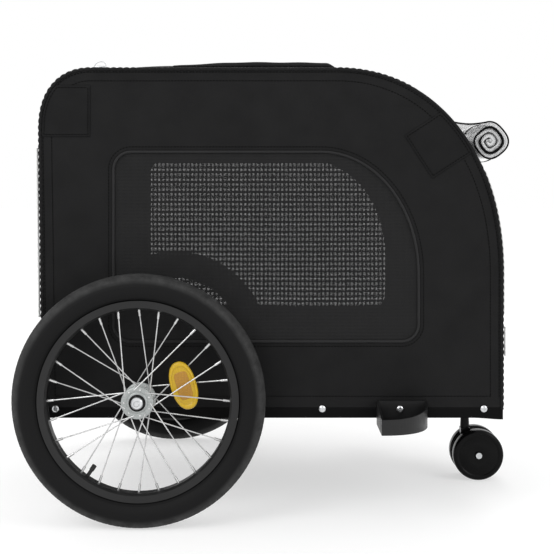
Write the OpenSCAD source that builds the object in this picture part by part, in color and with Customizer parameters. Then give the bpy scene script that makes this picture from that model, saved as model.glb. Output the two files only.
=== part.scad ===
// Covered bicycle trailer for a child or a small load: a steel frame with two folding
// hoops, a fabric cabin with mesh windows, two spoked wheels and a swivelling twin caster.
// X points forward (towards the caster), Y to the left, Z up. The origin is on the ground,
// halfway between the rear of the tyres and the front of the caster.

/* [Overall] */
// Length from the back of the tyres to the front of the caster
overall_l = 832.8; // [800:0.2:1000]
// Width of the cabin over its side panels
body_w = 540; // [450:1:650]
// Height of the cabin's lower edge above the ground
hem_z = 162; // [150:1:200]
// Height of the roof above the ground
roof_z = 728.5; // [620:0.5:880]

/* [Cabin outline] */
// How far the rear panel stands in front of the back of the tyres, at the hem
rear_set = 38; // [20:1:80]
// How far the rear panel leans back between hem and shoulder
rear_lean = 6; // [0:0.5:12]
// Length of the rounded shoulder between rear panel and roof
shoulder_a = 86; // [60:1:110]
// Height of the rounded shoulder
shoulder_b = 100.5; // [70:0.5:125]
// How far the nose stands behind the front of the caster
nose_set = 49; // [35:1:90]
// Length of the curved nose
nose_a = 271; // [220:1:310]
// Height of the curved nose
nose_b = 335; // [280:1:380]
// Fullness of the nose curve, 2 is an ellipse
nose_n = 2.15; // [2:0.05:2.4]
// Fullness of the shoulder curve
shoulder_n = 2.3; // [2:0.05:2.6]

/* [Fabric] */
// Thickness of the coated fabric panels
fabric_t = 1.6; // [1:0.1:2]
// Thickness of the window mesh
mesh_t = 0.8; // [0.5:0.1:1]
// How far the edge binding stands out
trim_t = 1; // [0.5:0.1:1.5]
// Width of the edge binding
trim_w = 6; // [4:0.5:10]
// Side of the square corner patches
patch_w = 83; // [60:1:90]
// Thickness of the corner patches
patch_t = 0.6; // [0.4:0.1:0.8]

/* [Side window] */
// Length of the side window over its piping
window_l = 498; // [400:1:510]
// Height of the side window over its piping
window_h = 311; // [250:1:330]
// Height of the window's lower edge above the hem
window_up = 122; // [100:1:140]
// Distance of the window from the rear panel
window_back = 113; // [100:1:130]
// Radius of the window's three small corners
window_r = 30; // [20:1:45]
// Length of the window's large upper front corner
window_big_a = 160; // [120:1:190]
// Height of the window's large upper front corner
window_big_b = 200; // [160:1:215]
// Width of the piping round the window
piping_w = 4; // [3:0.5:6]

/* [Rear door] */
// Width of the rear door
door_w = 400; // [300:1:420]
// Height of the rear door
door_h = 400; // [300:1:420]
// Height of the door's hinge line above the hem
door_up = 43; // [36:1:60]
// Radius of the door's upper corners
door_r = 60; // [30:1:90]
// Gap round the door for the zip
door_gap = 1; // [0.8:0.1:2]

/* [Nose window] */
// Width of the mesh window in the nose
nose_win_w = 400; // [300:1:430]
// Lower edge of the nose window above the hem
nose_win_up = 80; // [60:1:100]
// Upper edge of the nose window below the roof
nose_win_down = 150; // [120:1:180]

/* [Rain cover] */
// Width of the rolled rain cover
cover_w = 470; // [380:1:480]
// Thickness of the clear cover sheet
cover_t = 1.2; // [0.6:0.1:1.5]
// Outer radius of the roll
roll_r = 31; // [25:0.5:36]
// Height of the flap's crown above the roof
flap_h = 10.5; // [6:0.5:14]

/* [Frame] */
// Outer radius of the base tubes
rail_r = 11; // [10:0.5:12.5]
// Outer radius of the hoop tubes
leg_r = 8; // [7:0.5:9]
// Wall of all frame tubes
tube_t = 1.5; // [1.2:0.1:2]
// Height of the base tubes' centres above the hem
rail_up = 14.7; // [12:0.1:18]
// Gap between the fabric and the tubes behind it
skin_gap = 0.4; // [0.3:0.1:1]
// Gap between the outline and the hoop tubes behind it
leg_gap = 4; // [3:0.5:6]
// Height of the hoop hinges above the base tubes' centres
hinge_up = 25.3; // [24:0.1:30]
// Radius of the hoop hinge bolts
hinge_bolt_r = 3; // [2.5:0.5:4]
// Thickness of the floor board
floor_t = 4; // [3:0.5:8]
// Thickness of the floor mat
mat_t = 6; // [4:0.5:10]

/* [Wheels] */
// Outer radius of the tyres
wheel_r = 200; // [190:1:215]
// Distance from the cabin's side to the middle of the tyre
wheel_out = 55; // [50:1:80]
// Height of the tyre above the rim's edge
tyre_h = 42; // [36:1:50]
// Radius of the tyre's round section
tyre_section = 22.2; // [20:0.1:24]
// Spokes in each wheel, a multiple of four
spoke_count = 28; // [20:4:36]
// Radius of a spoke
spoke_r = 1; // [0.8:0.1:1.2]
// Distance between the hub's flanges
flange_gap = 40; // [34:1:46]
// Radius of the hub's flanges
flange_r = 24; // [22:0.5:28]
// Radius of the wheel axle
axle_r = 6.35; // [5:0.05:8]
// Radial running clearance of turning parts
run_gap = 0.05; // [0.02:0.01:0.09]
// Travel of the axle's release button
button_travel = 3; // [2:0.5:4]

/* [Caster] */
// Radius of the caster's wheels
caster_r = 46; // [35:1:55]
// Width over both caster wheels
caster_w = 66; // [60:1:80]
// Thickness of one caster wheel
caster_disc = 23; // [18:1:24]
// How far the caster's axle stands ahead of its stem
caster_trail = 20.7; // [15:0.1:28]
// Radius of the caster's stem
stem_r = 6.5; // [5:0.5:8]

/* [Deflectors and fasteners] */
// Length of a wheel deflector along the cabin
deflector_l = 81; // [60:1:95]
// How far a deflector stands out from the cabin
deflector_out = 90; // [70:1:100]
// Distance from the wheel's axle to the deflector's straight end
deflector_ahead = 379; // [370:1:390]
// Height of the deflector at the cabin
deflector_h = 38; // [32:1:48]
// Height of the deflector at its outer rim
deflector_rim_h = 24; // [16:1:32]
// Wall of the deflector
deflector_t = 3; // [2:0.5:4]
// Radius of the hem screws' heads
screw_head_r = 5.35; // [4:0.05:6]
// Radius of the hem screws' shanks
screw_r = 2.5; // [2:0.1:3]

/* [Tow bar receiver] */
// Inner radius of the tow bar receiver
tow_r = 12.8; // [11:0.1:16]
// Wall of the tow bar receiver
tow_t = 2.5; // [2:0.1:4]
// Length of the tow bar receiver
tow_l = 110; // [80:1:130]
// Radius of the receiver's cross hole
tow_pin_r = 4.25; // [3:0.05:5]

/* [Hidden] */

$fn = 64;
eps = 0.01;          // overshoot of cuts
touch = 0.3;         // gap between parts that pass each other

rear_x = -overall_l / 2 + rear_set;
front_x = overall_l / 2 - nose_set;
axle_x = -overall_l / 2 + wheel_r;
axle_z = wheel_r;
caster_x = overall_l / 2 - caster_r;
stem_x = caster_x - caster_trail;

side_y = body_w / 2;
inner_y = side_y - fabric_t;
cheek_t = 2;         // wall of the hinge cheeks beside each hoop leg
cheek_gap = 1.1;     // gap between the hinge cheeks and the side panels
hoop_gap = 1.5;      // gap between the hoops, as the rear one folds inside the front one
rail_y = inner_y - skin_gap - rail_r;
rail_z = hem_z + rail_up;
floor_z = rail_z + rail_r + touch;
hinge_z = rail_z + hinge_up;

nose_cx = front_x - nose_a;
nose_cz = roof_z - nose_b;
shoulder_cx = rear_x - rear_lean + shoulder_a;
shoulder_cz = roof_z - shoulder_b;

leg_inset = leg_r + leg_gap;
leg_y = inner_y - cheek_gap - cheek_t - touch - leg_r;
front_leg_x = front_x - leg_inset;
rear_leg_x = rear_x + fabric_t + skin_gap + rail_r + 0.2;
rear_leg_y = leg_y - 2 * leg_r - hoop_gap;
arc_steps = 22;

// ---- curves -------------------------------------------------------------------------

// Points on a superellipse arc of semi-axes a and b, from one angle to another
function arc_points(cx, cz, a, b, n, from, to) = [
  for (i = [0 : arc_steps])
    let (t = from + (to - from) * i / arc_steps, c = cos(t), s = sin(t))
    [cx + a * sign(c) * pow(abs(c), 2 / n), cz + b * sign(s) * pow(abs(s), 2 / n)]
];

// Cabin outline seen from the side, moved inwards by d and down to the height low
function outline(d, low) = concat(
  [[rear_x + d, low], [rear_x - rear_lean + d, shoulder_cz]],
  arc_points(shoulder_cx, shoulder_cz, shoulder_a - d, shoulder_b - d, shoulder_n, 180, 90),
  arc_points(nose_cx, nose_cz, nose_a - d, nose_b - d, nose_n, 90, 0),
  [[front_x - d, low]]
);

// Window outline, moved inwards by d
window_x0 = rear_x + window_back;
window_z0 = hem_z + window_up;
function window(d) = concat(
  arc_points(window_x0 + window_r, window_z0 + window_r, window_r - d, window_r - d, 2, 270, 180),
  arc_points(window_x0 + window_r, window_z0 + window_h - window_r,
    window_r - d, window_r - d, 2, 180, 90),
  arc_points(window_x0 + window_l - window_big_a, window_z0 + window_h - window_big_b,
    window_big_a - d, window_big_b - d, 2, 90, 0),
  arc_points(window_x0 + window_l - window_r, window_z0 + window_r,
    window_r - d, window_r - d, 2, 0, -90)
);

// Rectangle with rounded upper corners, for openings seen from the front or back
module arch(w, h, r) {
  translate([-w / 2, 0]) square([w, h - r]);
  translate([-w / 2 + r, 0]) square([w - 2 * r, h]);
  for (s = [-1, 1]) translate([s * (w / 2 - r), h - r]) circle(r);
}

// Extrudes a shape drawn in X and Z from y0 to y1
module across(y0, y1) {
  translate([0, y1, 0]) rotate([90, 0, 0]) linear_extrude(y1 - y0) children();
}

// Extrudes a shape drawn in Y and Z from x0 to x1
module along(x0, x1) {
  translate([x0, 0, 0]) rotate([90, 0, 90]) linear_extrude(x1 - x0) children();
}

// The left-hand twin of a right-hand part
module left() {
  mirror([0, 1, 0]) children();
}

module both_sides() {
  children();
  left() children();
}

// Cylinder between two points on one Y line
module y_rod(x, z, r, y0, y1) {
  translate([x, y1, z]) rotate([90, 0, 0]) cylinder(r = r, h = y1 - y0);
}

module x_rod(y, z, r, x0, x1) {
  translate([x0, y, z]) rotate([0, 90, 0]) cylinder(r = r, h = x1 - x0);
}

// ---- base frame ---------------------------------------------------------------------

screw_x = [rear_x + 21, axle_x + 291, axle_x + deflector_ahead + deflector_l / 2 - 3, front_x - 31];
cross_x = [rear_leg_x, axle_x];

module side_rail() color("#202020") difference() {
  x_rod(-rail_y, rail_z, rail_r, rear_x + 6, front_x - 8);
  x_rod(-rail_y, rail_z, rail_r - tube_t, rear_x + 6 - eps, front_x - 8 + eps);
  for (x = screw_x) y_rod(x, rail_z, screw_r + 0.1, -rail_y - rail_r - 1, -rail_y);
}
module side_rail_r() side_rail();
module side_rail_l() left() side_rail();

// Cross tubes coped against the side rails
module cope_rails() {
  for (s = [-1, 1]) x_rod(s * rail_y, rail_z, rail_r, rear_x, front_x);
}
module cross_rails() color("#202020") for (x = cross_x) difference() {
  y_rod(x, rail_z, rail_r, -rail_y, rail_y);
  y_rod(x, rail_z, rail_r - tube_t, -rail_y - eps, rail_y + eps);
  cope_rails();
}

// Front tube with the upright socket that takes the caster's stem
socket_r = stem_r + 6;
socket_h = 44;
socket_z = hem_z - 1;
module front_rail() color("#202020") difference() {
  union() {
    difference() {
      y_rod(stem_x, rail_z, rail_r, -rail_y, rail_y);
      y_rod(stem_x, rail_z, rail_r - tube_t, -rail_y - eps, rail_y + eps);
    }
    translate([stem_x, 0, socket_z]) cylinder(r = socket_r, h = socket_h);
  }
  translate([stem_x, 0, socket_z - eps]) cylinder(r = stem_r + run_gap, h = socket_h + 2 * eps);
  cope_rails();
}

// The board lies on the cross tubes, between the hoops' brackets
board_x = [rear_leg_x + 18, stem_x - socket_r - 3];
board_y = rear_leg_y - leg_r - 6;
mat_in = 5;
module floor_board() color("#2a2a2a") translate([board_x[0], -board_y, floor_z])
  cube([board_x[1] - board_x[0], 2 * board_y, floor_t]);
module floor_mat() color("#303030")
  translate([board_x[0] + mat_in, -board_y + mat_in, floor_z + floor_t])
    cube([board_x[1] - board_x[0] - 2 * mat_in, 2 * (board_y - mat_in), mat_t]);

// ---- folding hoops ------------------------------------------------------------------

feet = [[rear_leg_x, rear_leg_y], [front_leg_x, leg_y]];

// Saddle on the base tubes with two cheeks round the foot of a leg
module leg_bracket(x, y) difference() {
  translate([x - 14, -y - leg_r - touch - cheek_t, rail_z + 4])
    cube([28, 2 * (leg_r + touch + cheek_t), hinge_up - 4 + 12]);
  translate([x - 15, -y - leg_r - touch, rail_z + rail_r + 1.5])
    cube([30, 2 * (leg_r + touch), hinge_up + 12]);
  x_rod(-rail_y, rail_z, rail_r, x - 15, x + 15);
  for (bx = [rear_leg_x, stem_x]) y_rod(bx, rail_z, rail_r, -rail_y, -rear_leg_y + 40);
  y_rod(x, hinge_z, hinge_bolt_r, -side_y, -y + 30);
}
module leg_brackets() color("#1c1c1c") both_sides() for (f = feet) intersection() {
  leg_bracket(f[0], f[1]);
  translate([rear_x + fabric_t + 0.2, -side_y, 0])
    cube([front_x - rear_x - 2 * fabric_t - 0.4, side_y, roof_z]);
}

// Hinge bolts with their nuts on the inner side, seated in the cheeks
module hinge_bolts() color("silver") both_sides() for (f = feet) {
  y_rod(f[0], hinge_z, hinge_bolt_r, -f[1] - leg_r - touch - cheek_t, -f[1] + leg_r + 6);
  y_rod(f[0], hinge_z, hinge_bolt_r + 2.2, -f[1] + leg_r + touch + cheek_t, -f[1] + leg_r + 6);
}

// Two tangent bends that follow a quarter of the outline from upright to level:
// the first turns by th with radius r1, the second by the rest with radius r2
function bend_r2(w, h, th) = (w * sin(th) - h * (1 - cos(th)))
  / (cos(th) * sin(th) - (1 - sin(th)) * (1 - cos(th)));
function bend_r1(w, h, th) = (w - bend_r2(w, h, th) * cos(th)) / (1 - cos(th));

module bend(cx, cz, r, a0, a1, ro, ri) translate([cx, 0, cz]) rotate([90, 0, 0])
  rotate([0, 0, a0]) rotate_extrude(angle = a1 - a0) translate([r, 0]) difference() {
    circle(ro, $fn = 32);
    if (ri > 0) circle(ri, $fn = 32);
  }

module tube_z(x, z0, z1, ro, ri) translate([x, 0, z0]) difference() {
  cylinder(r = ro, h = z1 - z0);
  if (ri > 0) translate([0, 0, -eps]) cylinder(r = ri, h = z1 - z0 + 2 * eps);
}

module hoop_path(x, z0, z1, w, h, th, tail, ro, ri) {
  r2 = bend_r2(w, h, th);
  r1 = bend_r1(w, h, th);
  cx = x - r1;
  tube_z(x, z0, z1, ro, ri);
  bend(cx, z1, r1, 0, th, ro, ri);
  bend(cx + (r1 - r2) * cos(th), z1 + (r1 - r2) * sin(th), r2, th, 90, ro, ri);
  translate([x - w - tail, 0, z1 + h]) rotate([0, 90, 0]) difference() {
    cylinder(r = ro, h = tail);
    if (ri > 0) translate([0, 0, -eps]) cylinder(r = ri, h = tail + 2 * eps);
  }
}

foot_l = leg_r - 2.5;    // the foot below its bolt, short enough to turn behind the fabric
front_th = 20;
front_w = nose_a - leg_inset;
front_h = nose_b - leg_inset;
front_tail = 12;
module front_path(ro, ri) hoop_path(front_leg_x, hinge_z - foot_l, nose_cz,
  front_w, front_h, front_th, front_tail, ro, ri);

rear_th = 5;
rear_w = shoulder_cx - rear_leg_x;
rear_h = shoulder_b - leg_inset;
rear_tail = 20;
module rear_path(ro, ri) translate([2 * rear_leg_x, 0, 0]) mirror([1, 0, 0])
  hoop_path(rear_leg_x, hinge_z - foot_l, shoulder_cz, rear_w, rear_h, rear_th, rear_tail, ro, ri);

module front_leg() color("#202020") translate([0, -leg_y, 0]) difference() {
  front_path(leg_r, leg_r - tube_t);
  y_rod(front_leg_x, hinge_z, hinge_bolt_r + run_gap, -leg_r - 1, leg_r + 1);
}
module front_leg_r() front_leg();
module front_leg_l() left() front_leg();

module rear_leg() color("#202020") translate([0, -rear_leg_y, 0]) difference() {
  rear_path(leg_r, leg_r - tube_t);
  y_rod(rear_leg_x, hinge_z, hinge_bolt_r + run_gap, -leg_r - 1, leg_r + 1);
}
module rear_leg_r() rear_leg();
module rear_leg_l() left() rear_leg();

// Hoop cross bars, coped against the legs they join
cope_gap = 0.05;
module hoop_bar(p, y) difference() {
  y_rod(p[0], p[1], leg_r, -y, y);
  y_rod(p[0], p[1], leg_r - tube_t, -y - eps, y + eps);
}
front_r2 = bend_r2(front_w, front_h, front_th);
front_r1 = bend_r1(front_w, front_h, front_th);
front_c2 = [front_leg_x - front_r1 + (front_r1 - front_r2) * cos(front_th),
            nose_cz + (front_r1 - front_r2) * sin(front_th)];
front_bar_angles = [40, 60];    // places on the big bend that clear the rear hoop as both fold
module front_bars() color("#202020") difference() {
  for (a = front_bar_angles) hoop_bar(front_c2 + front_r2 * [cos(a), sin(a)], leg_y);
  for (s = [-1, 1]) translate([0, s * leg_y, 0]) front_path(leg_r + cope_gap, 0);
}
rear_bar = [rear_leg_x, shoulder_cz - 20];
roof_bar = [rear_leg_x + rear_w + rear_tail / 2, shoulder_cz + rear_h];
module rear_bars() color("#202020") difference() {
  for (p = [rear_bar, roof_bar]) hoop_bar(p, rear_leg_y);
  for (s = [-1, 1]) translate([0, s * rear_leg_y, 0]) rear_path(leg_r + cope_gap, 0);
}

// ---- fabric cabin -------------------------------------------------------------------

receiver_r = axle_r + 5.5;

module side_panel() color("#262626") difference() {
  across(-side_y, -inner_y) difference() {
    polygon(outline(0, hem_z));
    polygon(window(piping_w));
  }
  for (x = screw_x) y_rod(x, rail_z, screw_r + 0.1, -side_y - 1, -inner_y + 1);
  y_rod(axle_x, axle_z, receiver_r + touch, -side_y - 1, -inner_y + 1);
}
module side_panel_r() side_panel();
module side_panel_l() left() side_panel();

module window_mesh() color("#3a3a3a") across(-side_y + (fabric_t - mesh_t) / 2,
  -inner_y - (fabric_t - mesh_t) / 2) polygon(window(piping_w));
module window_mesh_r() window_mesh();
module window_mesh_l() left() window_mesh();

module window_piping() color("#444444") both_sides() across(-side_y - 2, -side_y) difference() {
  polygon(window(0));
  polygon(window(piping_w));
}

// Binding along the rear, top and nose edges of each side panel
module edge_trim() color("#1e1e1e") both_sides() across(-side_y - trim_t, -side_y) difference() {
  polygon(outline(0, hem_z + 20));
  polygon(outline(trim_w, hem_z - 10));
}

patch_turn = 33;
patch_at = [134, 191];      // middle of the front patch's inner edge, from the nose centre
module corner_patches() color("#242424") both_sides() across(-side_y - patch_t, -side_y)
  intersection() {
    polygon(outline(trim_w + touch, hem_z));
    union() {
      translate([rear_x - rear_lean, shoulder_cz - 10]) square(patch_w);
      translate([nose_cx, nose_cz] + patch_at) rotate(patch_turn)
        translate([0, -patch_w / 2]) square([patch_w + 20, patch_w]);
    }
  }

// The band of fabric between the side panels, from x0 to x1
module band(t_out, t_in, low, x0, x1) across(-inner_y, inner_y) intersection() {
  difference() {
    polygon(outline(t_out, low));
    polygon(outline(t_in, low - 10));
  }
  translate([x0, 0]) square([x1 - x0, 2 * roof_z]);
}

nose_win_z = hem_z + nose_win_up;
nose_win_h = roof_z - nose_win_down - nose_win_z;
module nose_opening(d) along(nose_cx, front_x + 10) translate([0, nose_win_z + d])
  arch(nose_win_w - 2 * d, nose_win_h - 2 * d, 50);

door_z = hem_z + door_up;
module door_opening(d) along(rear_x - rear_lean - 5, rear_x + 10) translate([0, door_z + d])
  arch(door_w - 2 * d, door_h - 2 * d, door_r);

module roof_panel() color("#262626") band(0, fabric_t, hem_z, shoulder_cx, nose_cx);
module nose_panel() color("#262626") difference() {
  band(0, fabric_t, hem_z, nose_cx, front_x + 1);
  nose_opening(0);
}
module nose_mesh() color("#3a3a3a") intersection() {
  band((fabric_t - mesh_t) / 2, (fabric_t + mesh_t) / 2, hem_z, nose_cx, front_x + 1);
  nose_opening(0);
}
module back_panel() color("#262626") difference() {
  band(0, fabric_t, hem_z, rear_x - rear_lean - 1, shoulder_cx);
  door_opening(-door_gap);
}
module rear_door() color("#2a2a2a") intersection() {
  band(0, fabric_t, hem_z, rear_x - rear_lean - 1, shoulder_cx);
  door_opening(0);
}

// Crowned flap over the roof, ahead of the shoulder
flap_x = [shoulder_cx + 129, nose_cx + 4];
module roof_flap() color("#222222") across(-side_y + 25, side_y - 25) polygon(concat(
  [[flap_x[0], roof_z], [flap_x[0], roof_z + 2]],
  [for (i = [1 : 9]) let (u = i / 10)
    [flap_x[0] + (flap_x[1] - flap_x[0] - 14) * u, roof_z + 3 + (flap_h - 3) * sin(100 * pow(u, 0.8))]],
  [[flap_x[1] - 14, roof_z + flap_h - 2], [flap_x[1], roof_z + 1.5], [flap_x[1], roof_z]]
));

// Clear rain cover: the sheet on the nose, its free stretch and the roll it ends in
roll_a = 40.5;
roll_x = nose_cx + (nose_a + 66) * cos(roll_a);
roll_z = nose_cz + nose_b * sin(roll_a);
sheet_end_x = nose_cx + 190;
lift = 0.1;
cover_top_z = roll_z + roll_r;
nose_dx = sheet_end_x - nose_cx;
sheet_z = nose_cz + nose_b * pow(1 - pow(nose_dx / nose_a, nose_n), 1 / nose_n);
module cover_sheet() color("#d8d8d8") across(-cover_w / 2, cover_w / 2) {
  intersection() {
    difference() {
      polygon(outline(-lift - cover_t, hem_z));
      polygon(outline(-lift, hem_z - 10));
    }
    translate([flap_x[1] + 1, roof_z - nose_b]) square([sheet_end_x - flap_x[1] - 1, nose_b + 20]);
  }
  polygon([[sheet_end_x - 1, sheet_z + cover_t], [sheet_end_x, sheet_z + 2 * cover_t + 1],
           [roll_x - 12, cover_top_z + cover_t], [roll_x - 12, cover_top_z]]);
}
module cover_roll() color("#cfcfcf") difference() {
  y_rod(roll_x, roll_z, roll_r, -cover_w / 2, cover_w / 2);
  y_rod(roll_x, roll_z, roll_r - 22, -cover_w / 2 - 1, cover_w / 2 + 1);
}
strap_t = 1;
strap_y = [-150, 150];
module cover_straps() color("#161616") for (y = strap_y) {
  translate([roll_x, y + 10, roll_z]) rotate([90, 0, 0]) rotate([0, 0, -120])
    rotate_extrude(angle = 200) translate([roll_r + touch, 0]) square([strap_t, 20]);
}

// ---- hardware on the cabin ----------------------------------------------------------

module pan_screw(x, seat) {
  y_rod(x, rail_z, screw_r, -seat, -rail_y - rail_r + 4);
  translate([x, -seat, rail_z]) rotate([90, 0, 0]) difference() {
    union() {
      cylinder(r = screw_head_r, h = 1.6);
      translate([0, 0, 1.6]) cylinder(r1 = screw_head_r, r2 = screw_head_r - 2, h = 1.2);
    }
    for (a = [0, 90]) rotate(a) translate([-2.6, -0.5, 1.4]) cube([5.2, 1, 3]);
  }
}
module hem_screws() color("silver") both_sides() for (i = [0 : 3])
  pan_screw(screw_x[i], i == 2 ? side_y + deflector_t + touch : side_y);

// Open-topped quarter-oval guard ahead of each wheel
deflector_x = axle_x + deflector_ahead;
deflector_z = rail_z - 24.7;
module quarter(a, b) intersection() {
  polygon(concat([[0, 0]], arc_points(0, 0, a, b, 2.3, 0, 90)));
  square([a, b]);
}
module deflector() color("#303030") translate([deflector_x, -side_y - touch, 0]) difference() {
  intersection() {
    translate([0, 0, deflector_z]) linear_extrude(deflector_h) mirror([0, 1])
      quarter(deflector_l, deflector_out);
    along(-1, deflector_l + 1) polygon([[0, deflector_z], [-deflector_out, deflector_z],
      [-deflector_out, deflector_z + deflector_rim_h], [0, deflector_z + deflector_h]]);
  }
  translate([deflector_t, -deflector_t, deflector_z + deflector_t]) linear_extrude(deflector_h)
    mirror([0, 1]) quarter(deflector_l - 2 * deflector_t, deflector_out - 2 * deflector_t);
  translate([screw_x[2] - deflector_x, 1, rail_z]) rotate([90, 0, 0])
    cylinder(r = screw_r + 0.1, h = deflector_t + 2);
}
module deflector_r() deflector();
module deflector_l() left() deflector();

// ---- wheels -------------------------------------------------------------------------

track = body_w + 2 * wheel_out;
rim_r = wheel_r - tyre_h;
hub_half = flange_gap / 2 + 2.5;
// Places a wheel part: its own +Z points outwards along the axle
module at_wheel() translate([axle_x, -track / 2, axle_z]) rotate([90, 0, 0]) children();

// Steel socket on the base tube that takes the axle's inner end
receiver_in = rail_y - rail_r - 12;
receiver_out = track / 2 - hub_half - 1.5;
module axle_receiver() color("#1c1c1c") difference() {
  union() {
    y_rod(axle_x, axle_z, receiver_r, -receiver_out, -receiver_in);
    translate([axle_x - 9, -rail_y - rail_r + 1, rail_z]) cube([18, 2 * rail_r - 2, axle_z - rail_z]);
  }
  y_rod(axle_x, axle_z, axle_r + run_gap, -receiver_out - 1, -receiver_in + 1);
  x_rod(-rail_y, rail_z, rail_r, axle_x - 20, axle_x + 20);
  y_rod(axle_x, rail_z, rail_r, -rail_y, 0);
}
module axle_receiver_r() axle_receiver();
module axle_receiver_l() left() axle_receiver();

// Push-button axle: shaft, outer cap and a blind bore for the button
button_r = 4.5;
cap_r = 9.25;
button_depth = 6.2;
module axle() color("silver") at_wheel() difference() {
  union() {
    translate([0, 0, -(track / 2 - receiver_in) - 4])
      cylinder(r = axle_r, h = track / 2 - receiver_in + 4 + hub_half + 1);
    translate([0, 0, hub_half + 0.3]) cylinder(r = cap_r, h = 5);
    translate([0, 0, hub_half + 5.3]) cylinder(r1 = cap_r, r2 = cap_r - 1.5, h = 1.5);
  }
  translate([0, 0, hub_half + 6.8 - button_depth]) cylinder(r = button_r + run_gap, h = button_depth + 1);
}
module axle_r() axle();
module axle_l() left() axle();

module axle_button() color("silver") at_wheel() translate([0, 0, hub_half + 6.8]) {
  translate([0, 0, -button_depth + button_travel + 0.5])
    cylinder(r = button_r, h = button_depth - 0.5);
  translate([0, 0, button_travel]) cylinder(r1 = button_r, r2 = button_r - 1, h = 1);
}
module axle_button_r() axle_button();
module axle_button_l() left() axle_button();

seat_r = rim_r - 7;
rim_in_r = rim_r - 14;
rim_half = 14;
// Tyre: round hollow section with two beads that sit between the rim's flanges
module tyre() color("#222222") at_wheel() rotate_extrude($fn = 128) {
  difference() {
    translate([wheel_r - tyre_section, 0]) circle(tyre_section, $fn = 48);
    translate([wheel_r - tyre_section, 0]) circle(tyre_section - 4.2, $fn = 48);
    translate([0, -40]) square([rim_r + 0.3, 80]);
  }
  for (s = [-1, 1]) translate([seat_r + 0.2, s > 0 ? 7.5 : -11.5]) square([13, 4]);
}
module tyre_r() tyre();
module tyre_l() left() tyre();

module rim() color("#2c2c2c") at_wheel() rotate_extrude($fn = 128) polygon([
  [rim_in_r, -9], [rim_in_r, 9], [rim_in_r + 3, rim_half], [rim_r, rim_half],
  [rim_r, rim_half - 2], [seat_r, rim_half - 2], [seat_r, 7], [rim_in_r + 2, 6],
  [rim_in_r + 2, -6], [seat_r, -7], [seat_r, -rim_half + 2], [rim_r, -rim_half + 2],
  [rim_r, -rim_half], [rim_in_r + 3, -rim_half]
]);
module rim_r() rim();
module rim_l() left() rim();

flange_t = 3;
barrel_r = 13;
module hub() color("silver") at_wheel() difference() {
  union() {
    for (s = [-1, 1]) translate([0, 0, s * flange_gap / 2 - flange_t / 2])
      cylinder(r = flange_r, h = flange_t);
    translate([0, 0, -hub_half]) cylinder(r = barrel_r, h = 2 * hub_half);
    for (s = [-1, 1]) translate([0, 0, s * (flange_gap / 2 - 2.5) - 2.5])
      cylinder(r = 16.5, h = 5);
  }
  translate([0, 0, -hub_half - 1]) cylinder(r = axle_r + run_gap, h = 2 * hub_half + 2);
}
module hub_r() hub();
module hub_l() left() hub();

// Spokes: on each flange half lean one way and half the other, so they cross
hole_r = flange_r - 3.5;
lace = 360 / spoke_count * 4;
nipple_l = 12;
spoke_end_r = rim_in_r + 0.5;
module spoke(side, way, i) {
  step = 720 / spoke_count;
  rim_angle = step * i + (side > 0 ? 0 : step / 2);
  hub_angle = rim_angle + way * lace;
  lean = flange_t / 2 + spoke_r - 0.2;
  p = [hole_r * cos(hub_angle), hole_r * sin(hub_angle), side * (flange_gap / 2 + way * lean)];
  q = [spoke_end_r * cos(rim_angle), spoke_end_r * sin(rim_angle), side * 2.5];
  v = q - p;
  len = norm(v);
  translate(p) rotate([0, acos(v[2] / len), atan2(v[1], v[0])]) {
    cylinder(r = spoke_r, h = len - 1, $fn = 16);
    translate([0, 0, len - nipple_l]) cylinder(r = 2, h = nipple_l, $fn = 16);
  }
}
module spokes() color("silver") at_wheel() for (side = [-1, 1], i = [0 : spoke_count / 2 - 1])
  spoke(side, i % 2 == 0 ? 1 : -1, i);
module spokes_r() spokes();
module spokes_l() left() spokes();

valve_a = 235.8;
module valve() color("#181818") at_wheel() rotate(valve_a) translate([rim_in_r - 20, 0, 0])
  rotate([0, 90, 0]) {
    cylinder(r = 3, h = 20.5);
    translate([0, 0, -0.8]) cylinder(r = 3.8, h = 9);
  }
module valve_r() valve();
module valve_l() left() valve();

// Oval spoke reflector with a raised rim
reflector_a = 18.7;
reflector_at = 74.5;
module oval(w, l) {
  square([w, l - w], center = true);
  for (s = [-1, 1]) translate([0, s * (l - w) / 2]) circle(w / 2);
}
module reflector() color("#c99a20") at_wheel() rotate(reflector_a)
  translate([reflector_at, 0, -3.5]) rotate(-2) difference() {
    linear_extrude(7) oval(37, 76);
    for (z = [-eps, 5.5]) translate([0, 0, z]) linear_extrude(1.5 + eps) oval(29, 68);
  }
module reflector_r() reflector();
module reflector_l() left() reflector();

// ---- caster -------------------------------------------------------------------------

caster_axle_r = 4;
boss_w = caster_w - 2 * caster_disc - 2;
module caster_yoke() color("#181818") difference() {
  union() {
    translate([stem_x, 0, caster_r + 24]) cylinder(r = stem_r, h = socket_z + socket_h + 3 - caster_r - 24);
    translate([stem_x, 0, socket_z - 6]) cylinder(r = stem_r + 3, h = 5.7);
    translate([stem_x, 0, caster_r + 48]) cylinder(r1 = 8.5, r2 = stem_r, h = 40);
    translate([stem_x, 0, caster_r + 20]) cylinder(r = 8.5, h = 28);
    across(-boss_w / 2, boss_w / 2) {
      translate([caster_x, caster_r]) circle(13);
      polygon([[stem_x - 8.5, caster_r + 46], [stem_x + 8.5, caster_r + 46],
               [caster_x + 10, caster_r + 9], [caster_x - 8, caster_r - 10],
               [stem_x - 8.5, caster_r + 14]]);
    }
  }
  y_rod(caster_x, caster_r, caster_axle_r + run_gap, -boss_w, boss_w);
}
module caster_axle() color("silver") {
  y_rod(caster_x, caster_r, caster_axle_r, -caster_w / 2, caster_w / 2);
  for (s = [-1, 1]) translate([0, s * (caster_w / 2 + 0.8), 0])
    y_rod(caster_x, caster_r, 5.5, -1, 1);
}
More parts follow.
